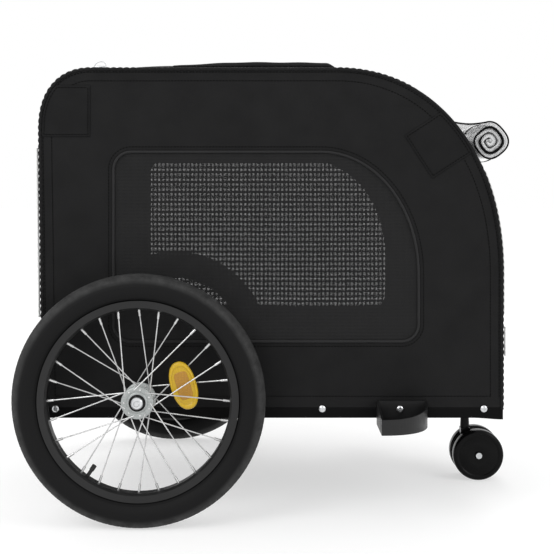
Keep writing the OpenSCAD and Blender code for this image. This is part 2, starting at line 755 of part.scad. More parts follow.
module caster_wheel() color("#1a1a1a") translate([caster_x, 0, caster_r]) rotate([90, 0, 0])
  rotate_extrude($fn = 96) polygon([
    [caster_axle_r + run_gap, caster_w / 2 - caster_disc], [caster_r - 3, caster_w / 2 - caster_disc],
    [caster_r, caster_w / 2 - caster_disc + 3], [caster_r, caster_w / 2 - 7],
    [caster_r - 2, caster_w / 2 - 3], [caster_r - 7, caster_w / 2 - 1.5],
    [caster_r - 12, caster_w / 2 - 2.5], [caster_axle_r + 12, caster_w / 2 - 1],
    [caster_axle_r + run_gap, caster_w / 2 - 0.4]
  ]);
module caster_wheel_r() caster_wheel();
module caster_wheel_l() left() caster_wheel();

// ---- tow bar receiver and zip pulls -------------------------------------------------

// It hangs under the left rail, low enough for a bar to pass below the hem
tow_y = rail_y - 4;
tow_z = hem_z - tow_r - 2;
tow_x = front_x - 30 - tow_l;
tow_pin_x = tow_x + tow_l - 35;
module tow_receiver() color("#1c1c1c") difference() {
  union() {
    x_rod(tow_y, tow_z, tow_r + tow_t, tow_x, tow_x + tow_l);
    translate([tow_x + 5, tow_y - 6, tow_z]) cube([tow_l - 10, 12, rail_z - tow_z]);
  }
  x_rod(rail_y, rail_z, rail_r, tow_x - 1, tow_x + tow_l + 1);
  x_rod(tow_y, tow_z, tow_r, tow_x - 1, tow_x + tow_l + 1);
  y_rod(tow_pin_x, tow_z, tow_pin_r, tow_y - 30, tow_y + 30);
}

slider_w = 9;
module zip_slider(tab) {
  cube([slider_w, 12, 3]);
  translate([slider_w / 2 - 3.5, -tab + 3, 3]) cube([7, tab, 1.2]);
}
door_lean = atan2(rear_lean, shoulder_cz - hem_z);
module door_zip_slider() color("#2a2a2a")
  translate([rear_x - rear_lean * door_up / (shoulder_cz - hem_z) - touch - 0.2,
    -door_w / 2 - door_gap - slider_w - 1, door_z + 32])
  rotate([0, -door_lean, 0]) rotate([90, 0, -90]) mirror([1, 0, 0]) zip_slider(26);

// Slider on the roof with a standing loop of cord as its pull
roof_slider_x = shoulder_cx + 2;
module roof_zip_slider() color("#555555")
  translate([roof_slider_x, -inner_y + 7, roof_z + touch]) {
    translate([0, -slider_w / 2, 0]) cube([20, slider_w, 3]);
    translate([10, 0.6, 3]) rotate([90, 0, 0]) linear_extrude(1.2) difference() {
      intersection() {
        scale([1.15, 1]) circle(9);
        translate([-15, 0]) square([30, 20]);
      }
      intersection() {
        scale([1.15, 1]) circle(7.8);
        translate([-15, -1]) square([30, 20]);
      }
    }
  }

side_rail_r();
side_rail_l();
cross_rails();
front_rail();
floor_board();
floor_mat();
leg_brackets();
hinge_bolts();
front_leg_r();
front_leg_l();
front_bars();
rear_leg_r();
rear_leg_l();
rear_bars();
side_panel_r();
side_panel_l();
window_mesh_r();
window_mesh_l();
window_piping();
edge_trim();
corner_patches();
roof_panel();
nose_panel();
nose_mesh();
back_panel();
rear_door();
roof_flap();
cover_sheet();
cover_roll();
cover_straps();
hem_screws();
deflector_r();
deflector_l();
axle_receiver_r();
axle_receiver_l();
axle_r();
axle_l();
axle_button_r();
axle_button_l();
tyre_r();
tyre_l();
rim_r();
rim_l();
hub_r();
hub_l();
spokes_r();
spokes_l();
valve_r();
valve_l();
reflector_r();
reflector_l();
caster_yoke();
caster_axle();
caster_wheel_r();
caster_wheel_l();
tow_receiver();
door_zip_slider();
roof_zip_slider();
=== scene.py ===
import bpy
import numpy as np
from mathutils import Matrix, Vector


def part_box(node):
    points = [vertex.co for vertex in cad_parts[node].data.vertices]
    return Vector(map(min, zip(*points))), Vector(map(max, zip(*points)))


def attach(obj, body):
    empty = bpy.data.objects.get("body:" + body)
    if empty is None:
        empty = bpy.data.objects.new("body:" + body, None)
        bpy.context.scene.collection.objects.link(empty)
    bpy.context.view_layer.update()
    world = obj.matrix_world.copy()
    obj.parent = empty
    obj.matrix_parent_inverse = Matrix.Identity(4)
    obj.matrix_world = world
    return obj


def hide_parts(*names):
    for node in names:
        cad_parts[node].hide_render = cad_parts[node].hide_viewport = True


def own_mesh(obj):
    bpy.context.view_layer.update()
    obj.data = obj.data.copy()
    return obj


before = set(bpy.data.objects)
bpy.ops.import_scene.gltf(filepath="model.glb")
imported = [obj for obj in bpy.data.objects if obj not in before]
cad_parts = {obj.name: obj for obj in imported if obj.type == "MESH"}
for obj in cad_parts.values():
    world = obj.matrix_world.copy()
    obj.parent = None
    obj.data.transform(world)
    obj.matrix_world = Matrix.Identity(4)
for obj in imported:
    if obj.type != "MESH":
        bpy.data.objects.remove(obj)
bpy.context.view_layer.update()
print("frame loaded:", len(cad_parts), "nodes")


# Mesh helpers: grids of points in, finished pieces out.

def gridFaces(rows, cols, wrap=False, wrapRows=False):
    # four corners of every cell of a grid; the last column or row joins the first where it wraps
    i = np.arange(rows if wrapRows else rows - 1)[:, None]
    j = np.arange(cols if wrap else cols - 1)[None, :]
    nextRow, nextCol = (i + 1) % rows, (j + 1) % cols
    corners = [i * cols + j, i * cols + nextCol, nextRow * cols + nextCol, nextRow * cols + j]
    return np.stack([np.broadcast_to(c, (i.size, j.size)) for c in corners], -1).reshape(-1, 4)


def volumeOf(points, faces):
    # six times the volume that the faces enclose: positive when they point outwards
    a, b, c, d = (points[faces[:, k]] for k in range(4))
    return float((a * np.cross(b, c)).sum() + (a * np.cross(c, d)).sum())


def outward(points, faces):
    # the same faces, turned over where the volume they enclose is negative
    return faces if volumeOf(points, faces) > 0 else faces[:, ::-1]


def makePiece(name, points, faces, body, material, uv=None, replaces=(), caps=(), weld=False,
              flat=False):
    # one mesh object at the origin that rides on a CAD body
    points = np.asarray(points, float)
    if weld:  # equal points become one, so that poles and seams are closed
        keys, first, same = np.unique(np.round(points, 7), axis=0, return_index=True, return_inverse=True)
        points, faces = points[first], same.ravel()[faces]
        uv = None if uv is None else uv[first]
    mesh = bpy.data.meshes.new(name)
    polygons = faces.tolist()
    if weld:
        polygons = [list(dict.fromkeys(p)) for p in polygons]
        polygons = [p for p in polygons if len(p) > 2]
    mesh.from_pydata(points.tolist(), [], polygons + [list(cap) for cap in caps])
    if uv is not None:
        index = np.zeros(len(mesh.loops), np.int32)
        mesh.loops.foreach_get("vertex_index", index)
        mesh.uv_layers.new(name="cloth").data.foreach_set("uv", uv[index].astype(np.float32).ravel())
    mesh.polygons.foreach_set("use_smooth", np.full(len(mesh.polygons), not flat))
    mesh.materials.append(material)
    made = bpy.data.objects.new(name, mesh)
    bpy.context.scene.collection.objects.link(made)
    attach(made, body)
    if replaces:
        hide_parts(*replaces)
    return made


def wallBetween(outer, inner, wrap=False):
    # a closed wall: two equal grids a wall apart, and a rim of cells that joins their edges
    rows, cols = outer.shape[:2]
    points = np.concatenate([outer.reshape(-1, 3), inner.reshape(-1, 3)])
    top, count = gridFaces(rows, cols, wrap), rows * cols
    edges = []
    j = np.arange(cols if wrap else cols - 1)
    for row, flip in ((0, False), (rows - 1, True)):
        a, b = row * cols + j, row * cols + (j + 1) % cols
        side = np.stack([a, a + count, b + count, b], 1)
        edges.append(side[:, ::-1] if flip else side)
    if not wrap:
        i = np.arange(rows - 1)
        for col, flip in ((0, True), (cols - 1, False)):
            a, b = i * cols + col, (i + 1) * cols + col
            side = np.stack([a, a + count, b + count, b], 1)
            edges.append(side[:, ::-1] if flip else side)
    faces = np.concatenate([top, top[:, ::-1] + count, *edges])
    return points, outward(points, faces)


def shellOf(grid, thickness, centre, wrap=False):
    # a closed wall: the grid, and the same grid moved along its normals towards the centre by the thickness
    across = np.roll(grid, -1, 1) - np.roll(grid, 1, 1) if wrap else np.gradient(grid, axis=1)
    normal = np.cross(np.gradient(grid, axis=0), across)
    normal /= np.linalg.norm(normal, axis=2, keepdims=True) + 1e-12
    normal *= np.sign((normal * (grid - centre)).sum(2, keepdims=True))
    return wallBetween(grid, grid - normal * thickness, wrap)


def sweep(path, across, profile, closed=False, grow=None):
    # a closed profile carried along a path: its first number is measured along across, its second at right
    # angles to both across and the path
    tangent = np.roll(path, -1, 0) - np.roll(path, 1, 0) if closed else np.gradient(path, axis=0)
    tangent /= np.linalg.norm(tangent, axis=1, keepdims=True)
    side = np.broadcast_to(np.asarray(across, float), path.shape)
    side = side - tangent * (side * tangent).sum(1, keepdims=True)
    side /= np.linalg.norm(side, axis=1, keepdims=True)
    out = np.cross(tangent, side)
    size = np.ones((len(path), 1, 1)) if grow is None else grow[:, None, None]
    ring = side[:, None] * profile[None, :, :1] + out[:, None] * profile[None, :, 1:]
    points = path[:, None] + ring * size
    rows, cols = points.shape[:2]
    faces = gridFaces(rows, cols, True, closed)
    points = points.reshape(-1, 3)
    caps = [] if closed else [np.arange(cols)[::-1], np.arange(cols) + (rows - 1) * cols]
    if volumeOf(points, faces) < 0:
        faces, caps = faces[:, ::-1], [cap[::-1] for cap in caps]
    return points, faces, caps


def roundProfile(width, height, corners=10, fullness=2.0):
    # a closed superellipse of that width and height
    t = np.linspace(0, 2 * np.pi, corners, endpoint=False)
    c, s = np.cos(t), np.sin(t)
    return np.column_stack([width / 2 * np.sign(c) * np.abs(c) ** (2 / fullness),
                            height / 2 * np.sign(s) * np.abs(s) ** (2 / fullness)])


def lathe(profile, place, side, count, closed=True):
    # a profile of (radius, distance outwards) turned round the Y line through place
    angle = np.linspace(0, 2 * np.pi, count, endpoint=False)[:, None]
    radius, out = profile[None, :, 0], profile[None, :, 1]
    grid = np.stack([place[0] + radius * np.cos(angle), place[1] + side * out + 0 * angle,
                     place[2] + radius * np.sin(angle)], -1)
    faces = gridFaces(count, len(profile), closed, True)
    points = grid.reshape(-1, 3)
    return points, outward(points, faces)


def smooth(x):
    # 0 below 0, 1 above 1, and an even curve between
    x = np.clip(x, 0, 1)
    return x * x * (3 - 2 * x)


def evenly(path, step):
    # the same path with points an equal length apart
    keep = np.concatenate([[True], np.linalg.norm(np.diff(path, axis=0), axis=1) > 1e-7])
    path = path[keep]
    along = np.concatenate([[0], np.cumsum(np.linalg.norm(np.diff(path, axis=0), axis=1))])
    s = np.linspace(0, along[-1], int(round(along[-1] / step)) + 1)
    return np.column_stack([np.interp(s, along, path[:, k]) for k in range(path.shape[1])])


def superArc(x, z, a, b, fullness, start, stop, count=240):
    # points of a superellipse arc about (x, z) between two angles in degrees
    t = np.radians(np.linspace(start, stop, count))
    c, s = np.cos(t), np.sin(t)
    return np.column_stack([x + a * np.sign(c) * np.abs(c) ** (2 / fullness),
                            z + b * np.sign(s) * np.abs(s) ** (2 / fullness)])


def atAngles(loop, centre, angles):
    # where rays from the centre at these angles meet a closed loop
    away = loop - centre
    own = np.arctan2(away[:, 1], away[:, 0])
    order = np.argsort(own)
    radius = np.interp(angles, own[order], np.linalg.norm(away, axis=1)[order], period=2 * np.pi)
    return centre + radius[:, None] * np.column_stack([np.cos(angles), np.sin(angles)])


def stitches(path, normal, size, pitch):
    # small closed bars of (length, width, height) along a path, one every pitch; each bar is three square
    # rings with the middle one widest
    length, width, height = size
    along = np.concatenate([[0], np.cumsum(np.linalg.norm(np.diff(path, axis=0), axis=1))])
    s = np.arange(pitch / 2, along[-1], pitch)
    centre = np.column_stack([np.interp(s, along, path[:, k]) for k in range(3)])
    slope = np.gradient(path, axis=0)
    tangent = np.column_stack([np.interp(s, along, slope[:, k]) for k in range(3)])
    tangent /= np.linalg.norm(tangent, axis=1, keepdims=True)
    up = np.column_stack([np.interp(s, along, np.broadcast_to(normal, path.shape)[:, k]) for k in range(3)])
    up -= tangent * (up * tangent).sum(1, keepdims=True)
    up /= np.linalg.norm(up, axis=1, keepdims=True)
    over = np.cross(up, tangent)
    ring = np.array([[-1, -1], [1, -1], [1, 1], [-1, 1]]) / 2
    bar = np.concatenate([np.column_stack([np.full(4, x * length), ring * (width * k, height * k)])
                          for x, k in ((-0.5, 0.55), (0, 1), (0.5, 0.55))])
    axes = np.stack([tangent, over, up], 1)
    points = centre[:, None] + np.einsum("kc,ncd->nkd", bar, axes)
    cell = np.concatenate([gridFaces(3, 4, True), [[3, 2, 1, 0], [8, 9, 10, 11]]])
    faces = (cell[None] + np.arange(len(s))[:, None, None] * 12).reshape(-1, 4)
    points = points.reshape(-1, 3)
    return points, outward(points, faces)


def tubeUv(run, count, width):
    # flat places of a swept tube's points: how far along each ring lies, and how far round it each point lies
    return np.column_stack([np.repeat(run, count), np.tile(np.arange(count) * width, len(run))])


def joined(parts):
    # several (points, faces) as one
    counts = np.cumsum([0] + [len(p) for p, f in parts])
    return np.concatenate([p for p, f in parts]), np.concatenate([f + n for (p, f), n in zip(parts, counts)])


# Materials. Cloth reads its own UV map, which is in metres; everything else reads Object coordinates.

def addNode(tree, kind, inputs=None, **settings):
    # a shader node; each input is a socket to link or a value to set
    made = tree.nodes.new("ShaderNode" + kind)
    for key, value in settings.items():
        setattr(made, key, value)
    for key, value in (inputs or {}).items():
        if isinstance(value, bpy.types.NodeSocket):
            tree.links.new(value, made.inputs[key])
        else:
            made.inputs[key].default_value = value
    return made


def newMaterial(name, rough, **inputs):
    # a principled material; an underscore stands for the space in a socket's name
    made = bpy.data.materials.new(name)
    made.use_nodes = True
    tree = made.node_tree
    shader = tree.nodes["Principled BSDF"]
    shader.inputs["Roughness"].default_value = rough
    for key, value in inputs.items():
        shader.inputs[key.replace("_", " ")].default_value = value
    return made, tree, shader


def coordsOf(tree, kind):
    # texture coordinates, either UV or Object
    return addNode(tree, "TexCoord").outputs[kind]


def calc(tree, operation, a, b=0.0):
    # a and b put through one arithmetic operation
    return addNode(tree, "Math", {0: a, 1: b}, operation=operation).outputs[0]


def noise(tree, coords, scale, detail=3.0):
    # cloudy pattern from 0 to 1, with that many lumps to a metre
    return addNode(tree, "TexNoise", {"Vector": coords, "Scale": scale, "Detail": detail}).outputs["Fac"]


def spread(tree, value, low, high, lowest=0.3, highest=0.7):
    # a 0 to 1 pattern stretched to run from low to high
    return addNode(tree, "MapRange", {"Value": value, "From Min": lowest, "From Max": highest,
                                      "To Min": low, "To Max": high}).outputs[0]


def tint(tree, shader, factor, dark, light):
    # colour runs from dark to light with the factor
    mix = addNode(tree, "Mix", {"Factor": factor, "A": (*dark, 1), "B": (*light, 1)}, data_type="RGBA")
    tree.links.new(mix.outputs["Result"], shader.inputs["Base Color"])


def relief(tree, shader, height, depth, strength=1.0):
    # the surface seems to stand up by the height pattern times the depth in metres
    bump = addNode(tree, "Bump", {"Height": height, "Distance": depth, "Strength": strength})
    tree.links.new(bump.outputs[0], shader.inputs["Normal"])


def bands(tree, coords, direction, pitch):
    # a sine wave of that pitch; the wave texture repeats every 2 pi / 20 units at scale 1
    return addNode(tree, "TexWave", {"Vector": coords, "Scale": 2 * np.pi / 20 / pitch},
                   wave_type="BANDS", bands_direction=direction).outputs["Fac"]


def weave(tree, coords, pitch):
    # plain weave: cells where the lengthwise thread lies on top, cells where the crosswise one does
    cells = addNode(tree, "TexChecker", {"Vector": coords, "Scale": 1 / pitch}).outputs["Fac"]
    over, under = bands(tree, coords, "X", pitch), bands(tree, coords, "Y", pitch)
    mix = addNode(tree, "Mix", {"Factor": cells, "A": over, "B": under}, data_type="FLOAT")
    return mix.outputs["Result"]


def clothMaterial(name, dark, light, pitch, rough, sheen, shine=0.14, depth=0.00025):
    # woven cloth: thread relief, uneven dye, rubbed patches
    made, tree, shader = newMaterial(name, rough, Sheen_Weight=sheen, Sheen_Roughness=0.45,
                                     Specular_IOR_Level=shine)
    uv, place = coordsOf(tree, "UV"), coordsOf(tree, "Object")
    threads = weave(tree, uv, pitch)
    cloudy = noise(tree, place, 9.0, 5.0)
    tint(tree, shader, calc(tree, "ADD", calc(tree, "MULTIPLY", threads, 0.35),
                            calc(tree, "MULTIPLY", cloudy, 0.65)), dark, light)
    tree.links.new(spread(tree, noise(tree, place, 23.0), rough - 0.08, rough + 0.08),
                   shader.inputs["Roughness"])
    crease = calc(tree, "MULTIPLY", noise(tree, place, 34.0, 4.0), 1.6)
    relief(tree, shader, calc(tree, "ADD", threads, crease), depth, 0.7)
    return made


def netMaterial(name, colour, pitch, hole):
    # open net: threads both ways, clear where both waves stand above the hole level
    made, tree, shader = newMaterial(name, 0.72, Specular_IOR_Level=0.15)
    uv = coordsOf(tree, "UV")
    a, b = bands(tree, uv, "X", pitch[0]), bands(tree, uv, "Y", pitch[1])
    gap = calc(tree, "MULTIPLY", calc(tree, "GREATER_THAN", a, hole), calc(tree, "GREATER_THAN", b, hole))
    tree.links.new(calc(tree, "SUBTRACT", 1.0, gap), shader.inputs["Alpha"])
    tint(tree, shader, noise(tree, uv, 30.0), [c * 0.85 for c in colour], [c * 1.15 for c in colour])
    relief(tree, shader, calc(tree, "SUBTRACT", 1.0, calc(tree, "MULTIPLY", a, b)), 0.0002)
    return made


def hardMaterial(name, dark, light, rough, grain, depth, wear=8.0, **inputs):
    # a moulded, painted or metal surface: fine grain, slow change of colour, and rubbed places
    made, tree, shader = newMaterial(name, rough, **inputs)
    place = coordsOf(tree, "Object")
    worn = noise(tree, place, wear, 6.0)
    tint(tree, shader, spread(tree, worn, 0.0, 1.0, 0.35, 0.65), dark, light)
    tree.links.new(spread(tree, noise(tree, place, wear * 6), rough * 0.8, min(1.0, rough * 1.25)),
                   shader.inputs["Roughness"])
    relief(tree, shader, noise(tree, place, grain, 4.0), depth, 0.6)
    return made


def aboutAxle(tree, node):
    # Object coordinates moved so that the middle of a node's box, seen from the side, is at zero
    low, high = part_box(node)
    centre = (-(low[0] + high[0]) / 2, 0, -(low[2] + high[2]) / 2)
    return addNode(tree, "Mapping", {"Vector": coordsOf(tree, "Object"), "Location": centre}).outputs[0]


def ringMaterial(name, dark, light, rough, **inputs):
    # turned metal: fine rings about the wheel's own axle
    made, tree, shader = newMaterial(name, rough, **inputs)
    place = aboutAxle(tree, "hub_r")
    rings = addNode(tree, "TexWave", {"Vector": place, "Scale": 260.0, "Distortion": 0.6},
                    wave_type="RINGS", rings_direction="Y").outputs["Fac"]
    cast = noise(tree, place, 420.0, 5.0)
    tint(tree, shader, cast, dark, light)
    tree.links.new(spread(tree, cast, rough * 0.8, rough * 1.2), shader.inputs["Roughness"])
    relief(tree, shader, calc(tree, "ADD", calc(tree, "MULTIPLY", rings, 0.4), cast), 0.00018, 0.8)
    return made


def tyreMaterial():
    # rubber: matt; greyer on the tread band, partly patchy dust and partly a painted highlight
    made, tree, shader = newMaterial("tyreRubber", 0.62, Specular_IOR_Level=0.13)
    place = aboutAxle(tree, "tyre_r")
    flat = addNode(tree, "SeparateXYZ", {0: place}).outputs
    reach = calc(tree, "SQRT", calc(tree, "ADD", calc(tree, "POWER", calc(tree, "ABSOLUTE", flat["X"]), 2.0),
                                    calc(tree, "POWER", calc(tree, "ABSOLUTE", flat["Z"]), 2.0)))
    # the tread band is painted lighter: partly patchy dust, partly a painted highlight where light catches
    # the tread
    band = spread(tree, reach, 0.0, 1.0, 0.184, 0.191)
    dust = noise(tree, place, 60.0, 6.0)
    dustAndHighlight = calc(tree, "MULTIPLY", band, spread(tree, dust, 0.4, 1.0))
    tint(tree, shader, dustAndHighlight, (0.0052, 0.0052, 0.0054), (0.040, 0.040, 0.040))
    relief(tree, shader, noise(tree, place, 900.0), 0.0002, 0.5)
    return made


def amberMaterial(name, dark, light):
    # reflector lens: small raised cells under a glossy coat
    made, tree, shader = newMaterial(name, 0.2, Coat_Weight=0.3, Coat_Roughness=0.08, IOR=1.49,
                                     Specular_IOR_Level=0.3)
    place = coordsOf(tree, "Object")
    cells = addNode(tree, "TexVoronoi", {"Vector": place, "Scale": 420.0,
                                         "Randomness": 0.15}).outputs["Distance"]
    tint(tree, shader, spread(tree, cells, 0.0, 1.0, 0.1, 0.6), dark, light)
    relief(tree, shader, cells, 0.0006, 0.7)
    return made


def filmMaterial(name, alpha):
    # clear soft film: cloudy, glossy, faintly creased
    made, tree, shader = newMaterial(name, 0.18, Coat_Weight=0.5, Coat_Roughness=0.08, IOR=1.5)
    place = coordsOf(tree, "Object")
    cloudy = noise(tree, place, 26.0, 5.0)
    tint(tree, shader, cloudy, (0.84, 0.85, 0.86), (0.97, 0.97, 0.97))
    tree.links.new(spread(tree, cloudy, alpha - 0.1, min(1.0, alpha + 0.1)), shader.inputs["Alpha"])
    relief(tree, shader, noise(tree, place, 70.0, 3.0), 0.0012, 0.5)
    return made


look = {
    # cloth: darkest and lightest colour, thread pitch, roughness, sheen; shine and depth where they differ
    "cloth": clothMaterial("coatedCloth", (0.0045, 0.0045, 0.0047), (0.0085, 0.0085, 0.0088),
                           0.0011, 0.66, 0.02),
    "patch": clothMaterial("patchCloth", (0.0040, 0.0040, 0.0042), (0.0076, 0.0076, 0.0079),
                           0.0013, 0.7, 0.02),
    "hem": clothMaterial("hemTape", (0.0018, 0.0018, 0.0019), (0.0034, 0.0034, 0.0035),
                         0.0018, 0.5, 0.0, 0.06),
    "binding": clothMaterial("bindingTape", (0.0035, 0.0035, 0.0036), (0.0085, 0.0085, 0.0087),
                             0.0015, 0.6, 0.02),
    "piping": clothMaterial("windowPiping", (0.012, 0.012, 0.0123), (0.024, 0.024, 0.0245),
                            0.0012, 0.6, 0.04),
    "mat": clothMaterial("matCloth", (0.022, 0.022, 0.023), (0.04, 0.04, 0.041),
                         0.0016, 0.85, 0.2, 0.2, 0.0004),
    "reflective": clothMaterial("reflectiveTape", (0.50, 0.50, 0.50), (0.78, 0.78, 0.77),
                                0.0013, 0.38, 0.0, 0.5),
    "net": netMaterial("windowNet", (0.0135, 0.0135, 0.0138), (0.0019, 0.0023), 0.64),
    # hard: darkest and lightest colour, roughness, grains to a metre, their depth, rubbed patches to a metre
    "thread": hardMaterial("thread", (0.0012, 0.0012, 0.0012), (0.0026, 0.0026, 0.0026),
                           0.6, 1500.0, 0.0001, Specular_IOR_Level=0.06),
    "zip": hardMaterial("zipTeeth", (0.014, 0.014, 0.014), (0.03, 0.03, 0.03), 0.38, 700.0, 0.0001),
    "board": hardMaterial("floorBoard", (0.018, 0.018, 0.018), (0.03, 0.03, 0.03), 0.8, 300.0, 0.0004),
    "frame": hardMaterial("powderCoat", (0.008, 0.008, 0.0083), (0.014, 0.014, 0.014),
                          0.42, 620.0, 0.00012, Coat_Weight=0.1, Specular_IOR_Level=0.35),
    "zinc": hardMaterial("zincSteel", (0.52, 0.53, 0.54), (0.72, 0.73, 0.74),
                         0.32, 380.0, 0.00006, 40.0, Metallic=1.0),
    "spoke": hardMaterial("spokeSteel", (0.50, 0.50, 0.50), (0.66, 0.66, 0.66),
                          0.30, 500.0, 0.00003, 60.0, Metallic=0.9),
    "alloy": ringMaterial("castAlloy", (0.20, 0.215, 0.21), (0.50, 0.52, 0.515), 0.42, Metallic=0.6),
    "plastic": hardMaterial("mouldedPlastic", (0.006, 0.006, 0.0062), (0.011, 0.011, 0.0113),
                            0.4, 850.0, 0.00015, Specular_IOR_Level=0.35),
    "rim": hardMaterial("rimPaint", (0.005, 0.005, 0.0052), (0.009, 0.009, 0.0092),
                        0.40, 480.0, 0.00006, Coat_Weight=0.1, Specular_IOR_Level=0.3),
    "caster": hardMaterial("casterPlastic", (0.0015, 0.0015, 0.0016), (0.003, 0.003, 0.0031),
                           0.2, 160.0, 0.00006, Specular_IOR_Level=0.1),
    "seal": hardMaterial("sealRubber", (0.003, 0.003, 0.003), (0.006, 0.006, 0.006),
                         0.5, 600.0, 0.0001, Specular_IOR_Level=0.2),
    "tyre": tyreMaterial(),
    "amber": amberMaterial("amberRim", (0.60, 0.39, 0.008), (0.45, 0.28, 0.006)),
    "amberPanel": amberMaterial("amberPanel", (0.46, 0.235, 0.022), (0.32, 0.155, 0.014)),
    "film": filmMaterial("clearFilm", 0.40),
    "rollFilm": filmMaterial("rolledFilm", 0.72),
}
print("materials made:", len(look))


# The cabin's outline seen from the side, and its two maps: the flat sides, and the band over the top.

cabin = {
    "noseLength": 0.271, "noseHeight": 0.335, "noseFullness": 2.15,
    "shoulderLength": 0.086, "shoulderHeight": 0.1005, "shoulderFullness": 2.3,
    "lean": 0.006, "cloth": 0.0014, "hemTape": 0.017, "hemLap": 0.012,
    "foldKeep": 0.5,   # how flat the cloth lies when the hoops are folded, as a share of its height
    "sag": 0.004,      # how far the cloth of roof, nose and back hangs in between the side seams
    "bulge": 0.0072,   # how far the roof stands up under its folded flap
    "netSink": 0.0009,
}
low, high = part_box("side_panel_r")
rearX, frontX, hemZ, roofZ, sideY = low[0] + cabin["lean"], high[0], low[2], high[2], -low[1]
innerY = sideY - cabin["cloth"]
noseX, noseZ = frontX - cabin["noseLength"], roofZ - cabin["noseHeight"]
shoulderX, shoulderZ = rearX - cabin["lean"] + cabin["shoulderLength"], roofZ - cabin["shoulderHeight"]
middle = np.array([(rearX + frontX) / 2, 0, (hemZ + roofZ) / 2])
sides = {"R": -1, "L": 1}


def overPath(inset=0.0, start=hemZ):
    # from the rear hem over shoulder, roof and nose to the front hem
    return np.vstack([
        [[rearX + inset, start]],
        superArc(shoulderX, shoulderZ, cabin["shoulderLength"] - inset, cabin["shoulderHeight"] - inset,
                 cabin["shoulderFullness"], 180, 90),
        superArc(noseX, noseZ, cabin["noseLength"] - inset, cabin["noseHeight"] - inset,
                 cabin["noseFullness"], 90, 0),
        [[frontX - inset, start]]])


fullPath = evenly(overPath(), 0.001)
pathLength = np.concatenate([[0], np.cumsum(np.linalg.norm(np.diff(fullPath, axis=0), axis=1))])
pathSlope = np.gradient(fullPath, axis=0)
pathSlope /= np.linalg.norm(pathSlope, axis=1, keepdims=True)
totalLength = pathLength[-1]


def onBand(s, y, sink=0.0):
    # a point of the band: s along the outline, y across it, sunk inwards
    x, z = (np.interp(s, pathLength, fullPath[:, k]) for k in (0, 1))
    tx, tz = (np.interp(s, pathLength, pathSlope[:, k]) for k in (0, 1))
    return np.stack(np.broadcast_arrays(x + tz * sink, y, z - tx * sink), -1)


def bandNormal(s):
    # away from the cabin
    tx, tz = (np.interp(s, pathLength, pathSlope[:, k]) for k in (0, 1))
    return np.stack(np.broadcast_arrays(-tz, 0 * tz, tx), -1)


def lengthAtX(x):
    # how far along the outline the top stands over x
    top = fullPath[:, 1] > shoulderZ if x < noseX else fullPath[:, 0] > noseX
    return float(pathLength[top][np.argmin(np.abs(fullPath[top, 0] - x))])


def lengthAtZ(z, front):
    # how far along the outline the front or rear stands at height z
    part = fullPath[:, 0] > noseX if front else fullPath[:, 0] < shoulderX
    return float(pathLength[part][np.argmin(np.abs(fullPath[part, 1] - z))])


def bulge(x, y):
    # the roof rises slowly from the shoulder to its flap, falls in front of it, and is level by the side zips
    return (cabin["bulge"] * smooth((x - shoulderX + 0.02) / 0.15) * smooth((noseX + 0.006 - x) / 0.02)
            * smooth((innerY - np.abs(y) - 0.012) / 0.018))


def sag(s, y):
    # cloth hangs in between its side seams, most midway, and a little unevenly
    hang = 1 - (y / innerY) ** 2
    onRoof = (s > shoulderS) & (s < noseS)
    x = np.interp(s, pathLength, fullPath[:, 0])
    return (hang * (cabin["sag"] * (0.55 + 0.45 * np.sin(s * 9.0)) * np.where(onRoof, 0.3, 1)
                    + 0.0006 * np.sin(47 * y + 23 * s)) - np.where(onRoof, bulge(x, y), 0))


shoulderS, noseS = lengthAtX(shoulderX), lengthAtX(noseX)


def ripple(x, z, side):
    # the side cloth stands proud by the sum of four slow sine waves, and lies flat on the frame near the hem
    wave = (0.0006 * np.sin(27 * x + 8 * z + side) + 0.00045 * np.sin(17 * x - 39 * z + 2 * side)
            + 0.00025 * np.sin(88 * x + 57 * z) + 0.0002 * np.sin(64 * x - 101 * z + side))
    return smooth((z - hemZ - 0.045) / 0.06) * (0.0008 + wave)


def onSide(x, z, side, lift=0.0):
    # a point of a side panel, side -1 the right one and 1 the left one
    return np.stack(np.broadcast_arrays(x, side * (sideY + ripple(x, z, side) + lift), z), -1)


def ringGrid(outer, inner, rows):
    # rows of points that run from the inner loop to the outer one
    t = np.linspace(0, 1, rows)[:, None, None]
    return inner[None] * (1 - t) + outer[None] * t


def foldDown(piece):
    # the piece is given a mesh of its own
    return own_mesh(piece)


def clothPiece(name, flatGrid, grid, thickness, material, slot="oxford_fabric", body="chassis", replaces=(),
               wrap=True, rests=("front_leg_r", "rear_leg_r"), held="stretched"):
    # a sheet of cloth from a flat grid in metres and the same grid in place
    grid = np.ascontiguousarray(grid)
    if thickness:
        points, faces = shellOf(grid, thickness, middle, wrap)
        uv = np.tile(flatGrid.reshape(-1, 2), (2, 1))
    else:
        points, faces, uv = grid.reshape(-1, 3), gridFaces(*grid.shape[:2], wrap), flatGrid.reshape(-1, 2)
        a, b, c = (points[faces[:, k]] for k in range(3))
        if (np.cross(b - a, c - a) * (a - middle)).sum() < 0:
            faces = faces[:, ::-1]
    made = makePiece(name, points, faces, body, look[material], uv, replaces)
    return foldDown(made)


# Side panels, their windows, piping, binding, patches and stitching.

window = {"up": 0.122, "back": 0.113, "length": 0.498, "height": 0.311, "corner": 0.03,
          "bigLength": 0.16, "bigHeight": 0.2, "piping": 0.004, "columns": 640, "rows": 36,
          "netRows": 30, "netStep": 0.004, "netDip": (0.0012, 0.0025),   # at its edge, and more by its middle
          "pipingStep": 0.0035, "pipingSize": (0.0044, 0.0042), "pipingLift": 0.0006, "pipingAround": 0.0013}


